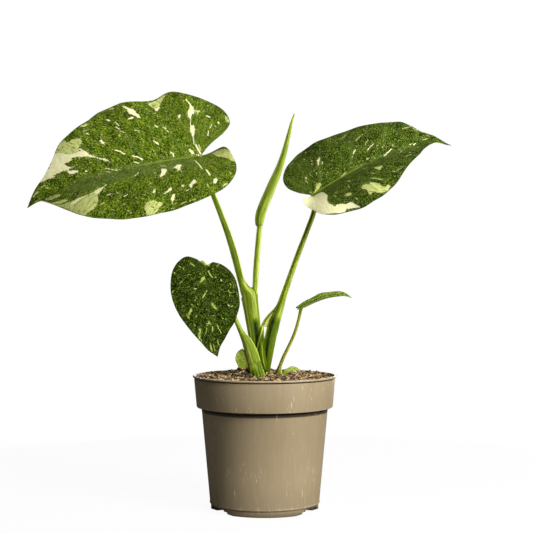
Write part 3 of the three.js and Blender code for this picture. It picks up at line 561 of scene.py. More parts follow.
def face_outwards(piece):
    take(piece)
    bpy.ops.object.mode_set(mode="EDIT")
    bpy.ops.mesh.select_all(action="SELECT")
    bpy.ops.mesh.normals_make_consistent(inside=False)
    bpy.ops.object.mode_set(mode="OBJECT")


def smooth_shading(piece, degrees):
    take(piece)
    bpy.ops.object.shade_smooth_by_angle(angle=math.radians(degrees))


def apply_place(piece):
    take(piece)
    bpy.ops.object.transform_apply(location=True, rotation=True, scale=True)


def apply_modifier(piece, kind, **settings):
    take(piece)
    modifier = piece.modifiers.new(kind.lower(), kind)
    for name, value in settings.items():
        setattr(modifier, name, value)
    bpy.ops.object.modifier_apply(modifier=modifier.name)


def join_pieces(first, *others):
    take(first)
    for other in others:
        other.select_set(True)
    bpy.ops.object.join()
    return first


def flat_grid(name, rows, columns):
    """A flat grid to shape, with the row and the column of each of its vertices."""
    deselect()
    bpy.ops.mesh.primitive_grid_add(x_subdivisions=rows - 1, y_subdivisions=columns - 1, size=2)
    sheet = new_piece(name)
    while sheet.data.uv_layers:
        sheet.data.uv_layers.remove(sheet.data.uv_layers[0])
    spot = places_of(sheet) * MM
    row = np.rint((spot[:, 0] + 1) / 2 * (rows - 1)).astype(int)
    column = np.rint((spot[:, 1] + 1) / 2 * (columns - 1)).astype(int)
    return sheet, row, column


def dressed(piece, material):
    piece.data.materials.clear()
    piece.data.materials.append(material)
    return piece


def finish_piece(piece, node):
    """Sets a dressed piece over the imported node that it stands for, if it stands for one."""
    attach(piece, "root")
    if node:
        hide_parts(node)


# Finishes. Every number in them is in millimetres on the surface's own map, or in metres on the object.

class Wire:
    """A socket's value in a finish. Python's operators on it add the Math nodes that work it out."""

    def __init__(self, finish, socket):
        self.finish = finish
        self.socket = socket

    def _math(self, operation, *values):
        return self.finish.node("Math", dict(enumerate(values)), {"operation": operation})

    def __add__(self, other):
        return self._math("ADD", self, other)

    __radd__ = __add__

    def __mul__(self, other):
        return self._math("MULTIPLY", self, other)

    __rmul__ = __mul__

    def __sub__(self, other):
        return self._math("SUBTRACT", self, other)

    def __rsub__(self, other):
        return self._math("SUBTRACT", other, self)

    def __pow__(self, other):
        return self._math("POWER", self, other)

    def __abs__(self):
        return self._math("ABSOLUTE", self)

    def most(self, other):
        return self._math("MAXIMUM", self, other)

    def zigzag(self, top):
        """Runs from 0 up to top and back again, over and over."""
        return self._math("PINGPONG", self, top)


def seen(red, green, blue):
    """A colour as the eye reads it, from 0 to 255, as the linear one that a shader takes."""
    linear = [(value / 255 / 12.92) if value <= 10 else ((value / 255 + 0.055) / 1.055) ** 2.4
              for value in (red, green, blue)]
    return (*linear, 1)


class Finish:
    """The nodes of one material or of the world."""

    def __init__(self, owner):
        self.owner = owner
        owner.use_nodes = True
        self.tree = owner.node_tree
        self.tree.nodes.clear()

    def node(self, kind, sockets, settings=None, output=0):
        made = self.tree.nodes.new("ShaderNode" + kind)
        for name, value in (settings or {}).items():
            if name == "stops":
                self.set_stops(made.color_ramp, value)
            else:
                setattr(made, name, value)
        for name, value in sockets.items():
            if isinstance(value, Wire):
                self.tree.links.new(value.socket, made.inputs[name])
            else:
                made.inputs[name].default_value = value
        return Wire(self, made.outputs[output]) if made.outputs else None

    @staticmethod
    def set_stops(ramp, stops):
        while len(ramp.elements) < len(stops):
            ramp.elements.new(0.5)
        for element, (position, colour) in zip(ramp.elements, stops):
            element.position = position
            element.color = colour

    def on_object(self):
        return self.node("TexCoord", {}, output="Object")

    def on_map(self, name):
        return self.node("UVMap", {}, {"uv_map": name})

    def on_points(self, name):
        return self.node("Attribute", {}, {"attribute_name": name}, output="Fac")

    def parts(self, vector):
        split = self.node("SeparateXYZ", {0: vector})
        return [Wire(self, socket) for socket in split.socket.node.outputs]

    def scaled(self, vector, *factors):
        return self.node("VectorMath", {0: vector, 1: (*factors, 1)[:3]}, {"operation": "MULTIPLY"})

    def moved(self, vector, *offsets):
        return self.node("VectorMath", {0: vector, 1: (*offsets, 0)[:3]}, {"operation": "ADD"})

    def noise(self, place, detail=2, roughness=0.5, distortion=0):
        return self.node("TexNoise", {"Vector": place, "Scale": 1, "Detail": detail, "Roughness": roughness,
                                      "Distortion": distortion})

    def cells(self, place, output="Distance", **settings):
        return self.node("TexVoronoi", {"Vector": place, "Scale": 1}, settings, output=output)

    def between(self, value, low, high):
        """0 up to low and 1 from high on, or the other way round where low is the greater."""
        return self.node("MapRange", {"Value": value, "From Min": low, "From Max": high},
                         {"interpolation_type": "SMOOTHSTEP"})

    def blend(self, first, second, share):
        return self.node("Mix", {0: share, 6: first, 7: second}, {"data_type": "RGBA"}, output=2)

    def ramp(self, share, stops):
        return self.node("ValToRGB", {0: share}, {"stops": stops})

    def bump(self, height, strength, distance):
        return self.node("Bump", {"Strength": strength, "Distance": distance, "Height": height})

    def surface(self, **sockets):
        named = {name.replace("_", " "): value for name, value in sockets.items()}
        shader = self.node("BsdfPrincipled", named)
        self.node("OutputMaterial", {"Surface": shader})
        return self.owner


def new_finish(name):
    return Finish(bpy.data.materials.new(name))


# Smooth curves and the form of a blade.

def unit(values):
    values = np.asarray(values, float)
    return values / np.linalg.norm(values, axis=-1, keepdims=True)


def through(rows, t):
    """The numbers of rows at each t, from 0 to 1 along them, on a smooth curve through every row."""
    rows = np.asarray(rows, float)
    t = np.asarray(t, float) * (len(rows) - 1)
    i = np.clip(np.floor(t).astype(int), 0, len(rows) - 2)
    w = (t - i)[..., None]
    here, after = rows[i], rows[i + 1]
    leave = (after - rows[np.maximum(i - 1, 0)]) / 2
    arrive = (rows[np.minimum(i + 2, len(rows) - 1)] - here) / 2
    return ((2 * here - 2 * after + leave + arrive) * w ** 3
            + (3 * after - 3 * here - 2 * leave - arrive) * w ** 2 + leave * w + here)


def column(values):
    return np.asarray(values, float)[..., None]


def measured(points):
    """How far along a row of points each of them is."""
    return np.concatenate([[0], np.cumsum(np.linalg.norm(np.diff(points, axis=0), axis=1))])


def ramp_up(values, start, length):
    """0 up to start, and 1 from that length beyond it."""
    return np.clip((values - start) / length, 0, 1)


def ridge_at(distance, width):
    """A smooth ridge, 1 high, round no distance."""
    return np.exp(-((distance / width) ** 2))


# The share of a blade's length from which its end may be hooked.
HOOK_START = 0.7


def blade_axes(leaf):
    """The directions along a blade, across it and out of its face, where its petiole meets it."""
    along = unit(leaf["along"])
    facing = np.asarray(leaf["facing"], float)
    facing = unit(facing - facing @ along * along)
    return along, np.cross(facing, along), facing


def midrib_frame(leaf, a):
    """The directions along the midrib, across it and out of the blade's face at each a."""
    along, across, facing = blade_axes(leaf)
    share = np.asarray(a, float) / leaf["length"]
    sway = column(np.radians(leaf["sway"]) * share * abs(share))
    late = np.clip((share - HOOK_START) / (1 - HOOK_START), 0, 1)
    hook = np.radians(leaf.get("hook", 0)) * np.sin(2 * np.pi * late)
    droop = column(np.radians(leaf["droop"]) * share * abs(share) - hook)
    twist = column(np.radians(leaf["twist"]) * share)
    level = along * np.cos(sway) + across * np.sin(sway)
    side = np.cross(facing, level)
    ahead = level * np.cos(droop) - facing * np.sin(droop)
    up = facing * np.cos(droop) + level * np.sin(droop)
    return ahead, side * np.cos(twist) + up * np.sin(twist), up * np.cos(twist) - side * np.sin(twist)


# Behind the petiole the lobes rise by a leaf's own rise, squared over this length, within this width.
NOTCH_REACH = 10
NOTCH_WIDTH = 16

# A place on the bent midrib is the sum of this many short steps.
MIDRIB_STEPS = 24

# The crease along the midrib is rounded over this width.
CREASE = 1


def blade_places(leaf, a, b, minus):
    """The middle of a blade's thickness at the flat places a, b.
    minus is 1 on the minus side and 0 on the plus side."""
    middles = (np.arange(MIDRIB_STEPS) + 0.5) / MIDRIB_STEPS
    ahead, _, _ = midrib_frame(leaf, a[:, None] * middles)
    point = np.asarray(leaf["base"]) + (ahead * column(a[:, None] / MIDRIB_STEPS)).sum(-2)
    _, across, out = midrib_frame(leaf, a)
    reach = abs(b)

    def side(name):
        return np.asarray(leaf[name], float)[minus]

    fold = np.radians(side("fold"))
    bend = np.radians(side("curl")) / leaf["width"]
    away = (np.sin(fold) - np.sin(fold - bend * reach)) / bend
    height, length, phase = leaf["wave"]
    near = ridge_at(reach, NOTCH_WIDTH)
    eased = np.hypot(reach, CREASE) - CREASE
    lift = ((np.cos(fold - bend * eased) - np.cos(fold)) / bend
            + height * (reach / leaf["width"]) ** 2 * np.sin(2 * np.pi * a / length + phase)
            + side("rise") * (np.minimum(a, 0) / NOTCH_REACH) ** 2 * near)
    sign = np.where(minus == 1, -1.0, 1.0)
    return point + across * column(sign * away) + out * column(lift)


# How soon the lines of the fan straighten away from the notch.
NOTCH_EASE = 6

# How far a vein leans towards the tip, as a share of its reach, and how strongly it bows on its way.
VEIN_LEAN = 0.5
VEIN_BOW = 1.25

# The number of points on a curve that is measured.
FINE = 4000


def blade_lines(leaf, side):
    """The lines that a blade is built on, a fan to the lobe's margin and then the veins.
    For each: where it starts on the midrib, where it ends on the margin, its bow and its place on the map of
    the veins."""
    margin = leaf[side]
    t = np.linspace(0, 1, FINE)
    ends = through(margin, t)
    roots = np.maximum.accumulate(ends[:, 0] - VEIN_LEAN * abs(ends[:, 1]))
    lobe_t = np.linspace(0, np.interp(0, roots, t), FINE)
    run = measured(through(margin, lobe_t))
    fan_run = np.linspace(0, run[-1], leaf["fan"] + 1)
    fan_ends = through(margin, np.interp(fan_run, run, lobe_t))
    vein_roots = leaf["length"] * np.arange(1, leaf["veins"]) / leaf["veins"]
    vein_ends = through(margin, np.interp(vein_roots, roots, t))
    root = np.concatenate([np.zeros(len(fan_run)), vein_roots, [leaf["length"]]])
    end = np.concatenate([fan_ends, vein_ends, [(leaf["length"], 0)]])
    bow = np.where((root > 0) & (root < leaf["length"]), VEIN_BOW, 1)
    notch = leaf.get("notch", (1, 1))[side == "minus"]
    bow[:len(fan_run)] = 1 + (notch - 1) * (1 - fan_run / fan_run[-1]) ** NOTCH_EASE
    spot = np.concatenate([fan_run - run[-1], vein_roots, [leaf["length"]]])
    return root, *end.T, bow, spot


# How far a mark's field reaches on either side of its edge, and how much faster it changes at a stroke's.
MARK_REACH = 3
STROKE_CRISPNESS = 2.2


def inside_outline(points, a, b):
    """How far inside an outline each place is, below 0 outside it."""
    nearest = to_stroke(points + points[:1], a, b)
    inside = np.zeros(len(a), bool)
    for (a0, b0), (a1, b1) in zip(points, points[1:] + points[:1]):
        if b0 != b1:
            crosses = (b0 > b) != (b1 > b)
            inside ^= crosses & (a < a0 + (b - b0) * (a1 - a0) / (b1 - b0))
    return np.where(inside, nearest, -nearest)


def to_stroke(points, a, b):
    """How far each place is from a row of points."""
    nearest = np.full(len(a), np.inf)
    for (a0, b0), (a1, b1) in zip(points, points[1:]):
        run = np.array([a1 - a0, b1 - b0])
        share = np.clip(((a - a0) * run[0] + (b - b0) * run[1]) / max(run @ run, 1e-9), 0, 1)
        nearest = np.minimum(nearest, np.hypot(a - a0 - share * run[0], b - b0 - share * run[1]))
    return nearest


def mark_field(marks, kind, a, b):
    """How far inside the marks of a kind each place is, in millimetres, below 0 outside them."""
    field = np.full(len(a), -MARK_REACH, float)
    drawn = [(mark, half, points) for mark in (kind, "green")
             for half, rows in marks.get(mark, {}).items() for points in rows]
    for mark, half, points in drawn:
        low = np.min(points, axis=0) - MARK_REACH - half
        high = np.max(points, axis=0) + MARK_REACH + half
        near = np.flatnonzero((a > low[0]) & (a < high[0]) & (b > low[1]) & (b < high[1]))
        if half:
            depth = (half - to_stroke(points, a[near], b[near])) * STROKE_CRISPNESS
        else:
            depth = inside_outline(points, a[near], b[near])
        field[near] = np.maximum(field[near], depth) if mark == kind else np.minimum(field[near], -depth)
    return np.clip(field, -MARK_REACH, MARK_REACH)


# A blade's points crowd towards its midrib by this power.
CROWDING = 1.25

# The relief of a blade, in millimetres and shares: the swellings between its veins, the hollow on each
# vein, the midrib that stands out below and the groove above it, and the blade's thinner edge.
RELIEF = {
    "swell_from_midrib": 9,
    "swell_from_margin": 7,
    "swell_power": 1.4,
    "fan_gap": 0.8,
    "fan_swell": 0.35,
    "hollow": 0.3,
    "hollow_width": 0.7,
    "hollow_from_midrib": 3,
    "hollow_from_margin": 12,
    "hollow_below": 1.4,
    "rib_width": 1.3,
    "rib_narrows": 0.7,
    "rib_sinks": 0.86,
    "rib_start": (1.2, 2),
    "groove": 0.34,
    "groove_width": 0.8,
    "groove_start": (-1, 3),
    "edge": 0.55,
    "edge_width": 5,
}

# Edges up to these angles are shaded smooth, in degrees.
SMOOTH_UP_TO = {"plant": 60, "pot": 30, "chips": 35}


def blade_relief(leaf, thickness, ridge, quilt, a, b, spot, reach, inset):
    """How far a blade's two faces lie above and below the middle of its thickness."""
    gap = leaf["vein_gap"]
    beat = np.where(spot < 0, spot * RELIEF["fan_gap"], spot) / gap
    off_vein = abs(beat - np.rint(beat)) * gap
    spread = ramp_up(reach, 0, RELIEF["swell_from_midrib"]) * ramp_up(inset, 0, RELIEF["swell_from_margin"])
    swell = quilt * spread * np.sin(np.pi * np.clip(off_vein / gap, 0, 0.5)) ** RELIEF["swell_power"]
    swell = swell * np.where(spot < 0, RELIEF["fan_swell"], 1)
    hollow = RELIEF["hollow"] * quilt * ridge_at(off_vein, RELIEF["hollow_width"])
    hollow = hollow * ramp_up(reach, 0, RELIEF["hollow_from_midrib"])
    hollow = hollow * ramp_up(inset, 0, RELIEF["hollow_from_margin"])
    tip = np.clip(a / leaf["length"], 0, 1)
    rib_width = RELIEF["rib_width"] - RELIEF["rib_narrows"] * tip
    rib = ridge * (1 - RELIEF["rib_sinks"] * tip) * ridge_at(b, rib_width) * ramp_up(a, *RELIEF["rib_start"])
    groove = RELIEF["groove"] * (1 - tip) * ridge_at(b, RELIEF["groove_width"])
    groove = groove * ramp_up(a, *RELIEF["groove_start"])
    half = thickness / 2 * (RELIEF["edge"] + (1 - RELIEF["edge"]) * ramp_up(inset, 0, RELIEF["edge_width"]))
    return half + swell - hollow - groove, half - swell + RELIEF["hollow_below"] * hollow + rib


def make_blade(name, leaf, marks, thickness, ridge, quilt):
    """A blade with its midrib, veins and marks.
    thickness is the blade's, ridge the height of the midrib under it and quilt that of the swellings between
    the veins."""
    across = leaf["across"]
    rows = leaf["fan"] + 1 + leaf["veins"]
    sheet, row, place_across = flat_grid(name, rows, 2 * across + 1)
    step = place_across - across
    minus = (step < 0).astype(int)
    q = (abs(step) / across) ** CROWDING
    plus_lines, minus_lines = (blade_lines(leaf, side) for side in ("plus", "minus"))
    root, end_a, end_b, bow, spot = (
        np.where(minus == 1, other[row], one[row]) for one, other in zip(plus_lines, minus_lines))
    sign = np.where(minus == 1, -1.0, 1.0)
    a = root + (end_a - root) * q ** np.sqrt(bow)
    b = sign * end_b * q ** (1 / np.sqrt(bow))
    long = np.hypot(end_a - root, end_b)
    inset, reach = (1 - q) * long, q * long
    place(sheet, blade_places(leaf, a, b, minus))
    lay_map(sheet, "flat", np.stack([a, b], 1))
    lay_map(sheet, "vein", np.stack([spot, sign * q * long], 1))
    above, below = blade_relief(leaf, thickness, ridge, quilt, a, b, spot, reach, inset)
    mark_points(sheet, "above", above)
    mark_points(sheet, "below", below)
    mark_points(sheet, "inset", inset)
    for kind in ("cream", "pale"):
        mark_points(sheet, kind, mark_field(marks, kind, a, b))

    merge_doubles(sheet)
    middle, out = places_of(sheet), normals_of(sheet)
    apply_modifier(sheet, "SOLIDIFY", thickness=thickness * MM, offset=0)
    count = len(middle)
    top_first = np.median(((places_of(sheet)[:count] - middle) * out).sum(1)) > 0
    faces = [middle + out * column(marked(sheet, "above")[:count]),
             middle - out * column(marked(sheet, "below")[:count])]
    place(sheet, np.concatenate(faces if top_first else faces[::-1]))
    mark_points(sheet, "under", np.repeat([0.0, 1.0] if top_first else [1.0, 0.0], count))
    for done in ("above", "below"):
        sheet.data.attributes.remove(sheet.data.attributes[done])
    smooth_shading(sheet, SMOOTH_UP_TO["plant"])
    return sheet


# Stalks.

# A stalk's direction at a ring is taken between this share of its length before and after it.
DIRECTION_STEP = 0.01


def stalk_rings(rows, step):
    """Rings at even steps along a stalk: the centre, direction and half sizes of each."""
    t = np.linspace(0, 1, FINE)
    run = measured(through(rows, t)[:, :3])
    along = np.linspace(0, run[-1], max(3, round(run[-1] / step) + 1))
    at = np.interp(along, run, t)
    rings = through(rows, at)
    after = through(rows, np.minimum(at + DIRECTION_STEP, 1))[:, :3]
    before = through(rows, np.maximum(at - DIRECTION_STEP, 0))[:, :3]
    return along, rings, unit(after - before)


def turn_between(angle, other):
    """The difference of two angles in degrees, from -180 to 180."""
    return (angle - other + 180) % 360 - 180


# An end closes over rings of these shares of its last ring's size, that far beyond it as a share of its half
# width.
ROUND_END = ((0.93, 0.16), (0.72, 0.32), (0.38, 0.42), (0.0, 0.45))
FLAT_END = ((0.7, 0.0), (0.0, 0.0))

# Where a stalk's outline begins, in degrees, and over which length its features fade at their ends.
STALK_SEAM = 90
FEATURE_FADE = 5


def make_stalk(name, rows, features=(), around=48, step=1.2, section=None, seat=None,
               round_ends=(False, False)):
    """A stalk through its rows.
    features are creases, ribs and stripes along it: from and to which height they run, their angle at
    heights, their width in degrees, how far they stand out in millimetres and how light they are, which on
    some stalks is painted light and painted shade. An angle of -90 faces the viewer and 0 the right. section
    is how far the stalk reaches at each share of a turn where it isn't round, and seat the blade that its
    top is cut to."""
    along, rings, tangent = stalk_rings(rows, step)
    centre, width, depth = rings[:, :3], rings[:, 3], rings[:, 4]
    first, last = (ROUND_END if is_round else FLAT_END for is_round in round_ends)
    picks = [(0, share, -lift) for share, lift in reversed(first)]
    picks += [(i, 1.0, 0.0) for i in range(len(rings))]
    picks += [(len(rings) - 1, share, lift) for share, lift in last]
    which, shares, beyond = map(np.array, zip(*picks))
    centre = centre[which] + tangent[which] * column(beyond * width[which])
    sheet, row, turn = flat_grid(name, len(picks), around + (2 if section else 1))
    share = np.minimum(turn / around, 1)
    degrees = share * 360 + (SPEAR_FREE_EDGE if section else STALK_SEAM)
    angle = np.radians(degrees)
    ring = which[row]
    axis = tangent[ring]
    side = unit(np.cross((0.0, 1.0, 0.0), axis))
    inward = np.cross(axis, side)
    reach = np.where(turn > around, 1, section(share)) if section else np.ones(len(turn))
    high = centre[row][:, 2]
    push = np.zeros(len(row))
    tone = np.zeros(len(row))
    for low, top, path, spread, stand, light in features:
        heights = [height for height, _ in path]
        middle = np.interp(high, heights, [degree for _, degree in path])
        near = ridge_at(turn_between(degrees, middle), spread)
        fade = (np.clip((high - low) / FEATURE_FADE + 0.5, 0, 1)
                * np.clip((top - high) / FEATURE_FADE + 0.5, 0, 1))
        push += stand * near * fade
        tone += light * near * fade
    size = reach * shares[row]
    out = side * column(np.cos(angle)) + inward * column(np.sin(angle))
    points = (centre[row] + side * column(np.cos(angle) * size * width[ring])
              + inward * column(np.sin(angle) * size * depth[ring]) + out * column(push * shares[row]))
    if seat:
        points = seat_on_blade(points, seat, row, tangent)
    place(sheet, points)
    girth = (width + depth)[which][row] / 2
    lay_map(sheet, "round", np.stack([np.radians(degrees) * np.median(girth), along[which][row]], 1))
    mark_points(sheet, "tone", tone)
    merge_doubles(sheet)
    face_outwards(sheet)
    smooth_shading(sheet, SMOOTH_UP_TO["plant"])
    return sheet


def make_membrane(name, rows, columns, tone):
    """The thin sheet between the two sides of the sheath."""
    sheet, row, column_at = flat_grid(name, rows, columns)
    along, across = row / (rows - 1), column_at / (columns - 1)
    outer, inner = through(MEMBRANE["outer"], along), through(MEMBRANE["inner"], along)
    points = outer + (inner - outer) * column(across)
    run = measured(through(MEMBRANE["outer"], np.linspace(0, 1, FINE)))[-1]
    place(sheet, points)
    wide = np.linalg.norm(inner - outer, axis=1)
    lay_map(sheet, "round", np.stack([across * wide, -along * run], 1))
    mark_points(sheet, "tone", np.full(len(points), tone))
    apply_modifier(sheet, "SOLIDIFY", thickness=MEMBRANE["thickness"] * MM, offset=0)
    face_outwards(sheet)
    smooth_shading(sheet, SMOOTH_UP_TO["plant"])
    return sheet


# A petiole swells towards the blade over this length, by this share.
KNEE = 9
KNEE_SWELL = 0.22

# Its top ends this far under the middle of the blade.
SEAT_DEPTH = 0.62


def seat_on_blade(points, leaf, row, tangent):
    """Ends a stalk just under the blade that it carries, swollen a little where it meets it."""
    _, across, facing = blade_axes(leaf)
    base = np.asarray(leaf["base"], float)
    offset = points - base
    sideways = offset @ across
    slope = np.tan(np.radians(np.where(sideways < 0, leaf["fold"][1], leaf["fold"][0])))
    ceiling = abs(sideways) * slope - SEAT_DEPTH
    last = tangent[-1]
    over = (ceiling - offset @ facing) / (facing @ last)
    final = row >= row.max() - 2
    reach = np.where(final, over, np.minimum(over, 0))
    near = np.clip(1 - abs(over) / KNEE, 0, 1)
    axis_point = points - last * column((points - base) @ last)
    middle = axis_point[final].mean(0)
    swollen = (axis_point - middle) * column(KNEE_SWELL * near * near)
    swollen *= column(abs(over) < KNEE)
    return points + last * column(reach) + swollen


def rolled(turn):
    """The reach of a rolled section at each share of a turn from its free edge."""
    return 1 - SPEAR_OVERLAP * np.clip(turn, 0, 1)


# The pot.

def ring_up(radius, height, next_radius, next_height):
    """Extrudes the selected ring of edges to the next radius and height."""
    bpy.ops.mesh.extrude_region_move(
        TRANSFORM_OT_translate={"value": (0, 0, (next_height - height) * MM)})
    scale = next_radius / radius
    bpy.ops.transform.resize(value=(scale, scale, 1), center_override=(0, 0, next_height * MM))


def pot_corners():
    """Radius, height and rounding of each corner, from the foot up the outside and down the inside."""
    wall, top, collar = POT["wall"], POT["top"], POT["collar_bottom"]
    foot, ridge, body = POT["foot_radius"], POT["ridge"], POT["body_radius"]
    neck, lip, shoulder = POT["body_top_radius"], POT["lip_radius"], POT["collar_top_radius"]
    ridge_top, ridge_out = ridge + POT["ridge_height"], body + POT["ridge_width"]
    groove, lip_bottom = shoulder - POT["lip_groove"], POT["lip_bottom"]
    under = top - POT["lip_height"]
    undercut, undercut_in = collar - POT["undercut_height"], neck - POT["undercut"]
    floor, inner = POT["floor"], foot - wall
    outside = [
        (foot, 0, 0), (foot + 0.1, ridge - 0.6, 0),
        (ridge_out, ridge - 0.3, 0.25), (ridge_out, ridge_top, 0), (body + 0.12, ridge_top + 0.7, 0),
        (neck, collar - POT["bead_height"], 0), (neck + POT["bead_width"], undercut - 0.4, 0.3),
        (undercut_in, undercut, 0), (undercut_in, collar, 0.15),
        (POT["collar_radius"], collar, 0.9), (shoulder - 0.05, lip_bottom - 0.2, 0.25),
        (groove, lip_bottom, 0), (groove, under - 0.1, 0), (lip, under, 0.4), (lip, top, 0.65),
    ]
    inside = [
        (groove - 0.3, top, 0.5), (shoulder - wall, lip_bottom, 0),
        (POT["collar_radius"] - wall, collar + wall + 0.6, 1), (neck - wall, collar + 0.6, 1),
        (inner, floor + POT["inner_round"], 2), (inner - POT["inner_round"], floor, 0),
    ]
    return outside + inside


# No rounding cuts off more of a side than this share.
MOST_CUT = 0.45


def rounded(corners):
    """The points of an outline whose corners are rounded."""
    points = [corners[0][:2]]
    for (x0, z0, _), (x, z, rounding), (x1, z1, _) in zip(corners, corners[1:], corners[2:]):
        if not rounding:
            points.append((x, z))
            continue
        corner = np.array([x, z], float)
        back, ahead = np.array([x0, z0]) - corner, np.array([x1, z1]) - corner
        far_back, far_ahead = np.linalg.norm(back), np.linalg.norm(ahead)
        opening = math.acos(np.clip(back @ ahead / far_back / far_ahead, -1, 1))
        cut = min(rounding / math.tan(opening / 2), MOST_CUT * far_back, MOST_CUT * far_ahead)
        start, end = corner + back / far_back * cut, corner + ahead / far_ahead * cut
        steps = 4 if rounding > 0.35 else 2
        for t in np.linspace(0, 1, steps + 1):
            points.append(tuple((1 - t) ** 2 * start + 2 * t * (1 - t) * corner + t ** 2 * end))
    return [*points, corners[-1][:2]]


def turn_pot():
    """The pot without its arches and holes, drawn up from its foot ring by ring."""
    outline = rounded(pot_corners())
    deselect()
    radius, height = outline[0]
    bpy.ops.mesh.primitive_circle_add(vertices=POT["segments"], radius=radius * MM, fill_type="NOTHING")
    shell = new_piece("pot_shell")
    bpy.ops.object.mode_set(mode="EDIT")
    bpy.ops.mesh.select_all(action="SELECT")
    for next_radius, next_height in outline[1:]:
        ring_up(radius, height, next_radius, next_height)
        radius, height = next_radius, next_height
    bpy.ops.mesh.edge_face_add()
    bpy.ops.mesh.select_all(action="DESELECT")
    bpy.ops.object.mode_set(mode="OBJECT")
    low = abs(places_of(shell)[:, 2]) < 1e-3
    shell.data.vertices.foreach_set("select", low)
    bpy.ops.object.mode_set(mode="EDIT")
    bpy.ops.mesh.select_mode(type="VERT")
    bpy.ops.mesh.edge_face_add()
    bpy.ops.object.mode_set(mode="OBJECT")
    face_outwards(shell)
    return shell


def block(name, low, high):
    """A block between two corners, in millimetres."""
    deselect()
    bpy.ops.mesh.primitive_cube_add(size=1)
    made = new_piece(name)
    low, high = np.asarray(low, float), np.asarray(high, float)
    place(made, (low + high) / 2 + places_of(made) * MM * (high - low))
    return made


def turned(piece, degrees):
    piece.rotation_euler = (0, 0, math.radians(degrees))
    apply_place(piece)
    return piece


def arch_block(angle, inner, outer, low, high, side):
    """A block over one drainage arch, narrower towards the middle of the pot."""
    taper = (ARCH["width"] - ARCH["inner_width"]) / (POT["foot_radius"] - ARCH["inner_radius"])

    def half(radius):
        return (ARCH["inner_width"] + taper * (radius - ARCH["inner_radius"])) / 2 + side

    made = block("arch", (inner, -1, low), (outer, 1, high))
    points = places_of(made)
    points[:, 1] *= half(points[:, 0])
    place(made, points)
    return turned(made, angle)


# Cuts through the bottom of the pot start this far below it.
BELOW = -1


def foot_ends(angle):
    """The slanted ends of the feet on either side of an arch."""
    half = ARCH["width"] / 2
    lean = ARCH["end_slope"] / ARCH["end_height"]
    made = block("foot_ends", (ARCH["end_radius"], -1, BELOW), (POT["lip_radius"], 1, ARCH["end_height"]))
    points = places_of(made)
    points[:, 1] *= half + lean * (ARCH["end_height"] - points[:, 2])
    place(made, points)
    return turned(made, angle)


def drain_hole(angle):
    deselect()
    deep = 2 * (ARCH["roof"] + POT["floor"])
    bpy.ops.mesh.primitive_cylinder_add(vertices=32, radius=ARCH["hole_radius"] * MM, depth=deep * MM,
                                        location=(ARCH["hole_at"] * MM, 0, ARCH["height"] * MM))
    hole = new_piece("drain_hole")
    apply_place(hole)
    return turned(hole, angle)


def combine(piece, tool, operation):
    apply_modifier(piece, "BOOLEAN", operation=operation, object=tool, solver="EXACT")
    bpy.data.objects.remove(tool)


def make_pot():
    """The turned shell, with each arch first walled and roofed and then cut free."""
    shell = turn_pot()
    wall_middle = POT["foot_radius"] - POT["wall"] / 2
    low, side, roof = POT["floor"] / 2, ARCH["side"], ARCH["roof"]
    hollows = ((ARCH["inner_radius"], ARCH["height"]), (ARCH["recess_radius"], ARCH["recess_height"]))
    for angle in ARCH["angles"]:
        for inner, high in hollows:
            combine(shell, arch_block(angle, inner - side, wall_middle, low, high + roof, side), "UNION")
    for angle in ARCH["angles"]:
        for inner, high in hollows:
            combine(shell, arch_block(angle, inner, POT["lip_radius"], BELOW, high, 0), "DIFFERENCE")
        combine(shell, foot_ends(angle), "DIFFERENCE")
        combine(shell, drain_hole(angle), "DIFFERENCE")
    smooth_shading(shell, SMOOTH_UP_TO["pot"])
    return shell


# The chips on the soil.

CHIP_SEED = 11
CHIP_COUNT = 3300
FIBRE_COUNT = 420
FIBRE_RADIUS = 0.16
FIBRE_STEP = 2

# The shapes of chip: name, size, how far the edges are broken, and the planes that cut it, each as a point
# and the direction of what is cut off. Then the share of each among the chips, and how rough they are.
CHIP_SHAPES = (
    ("chunk", (3, 2.2, 1.9), 0.35, [((0.9, 0, 0), (1, 0.4, 0.3))]),
    ("wedge", (3.4, 1.8, 1.3), 0.25, [((0.6, 0, 0.2), (0.6, -0.3, 0.8))]),
    ("shard", (4.6, 1.2, 1.0), 0.2, [((1.6, 0, 0), (1, 0.8, 0.1)), ((-1.5, 0, 0), (-1, 0.5, 0.4))]),
    ("flake", (3.2, 2.4, 0.7), 0.15, [((1.1, 0.4, 0), (0.8, 0.7, 0.1))]),
)
CHIP_SHARES = (0.34, 0.26, 0.22, 0.18)
CHIP_ROUGHNESS = 0.12

# The place of the fibre after the four shapes of chip.
FIBRE = 4

# Where stalks stand in the soil: the middle and the half width of each.
STANDING = (
    (-5.2, -16, 6.6), (-5.7, 1.2, 4.9), (2.2, 5.8, 3.6), (-0.6, 3.2, 3.4), (11.1, -2, 4.2), (14.5, -2, 2.6),
)


def soil_height(x, y):
    def heap(at_x, at_y, height, spread):
        return height * np.exp(-((x - at_x) ** 2 + (y - at_y) ** 2) / (2 * spread ** 2))

    back = SOIL["rise"] * (y / POT["lip_radius"] + 1) / 2
    return SOIL["level"] + back + heap(*SOIL["mound"]) + heap(*SOIL["crown"])


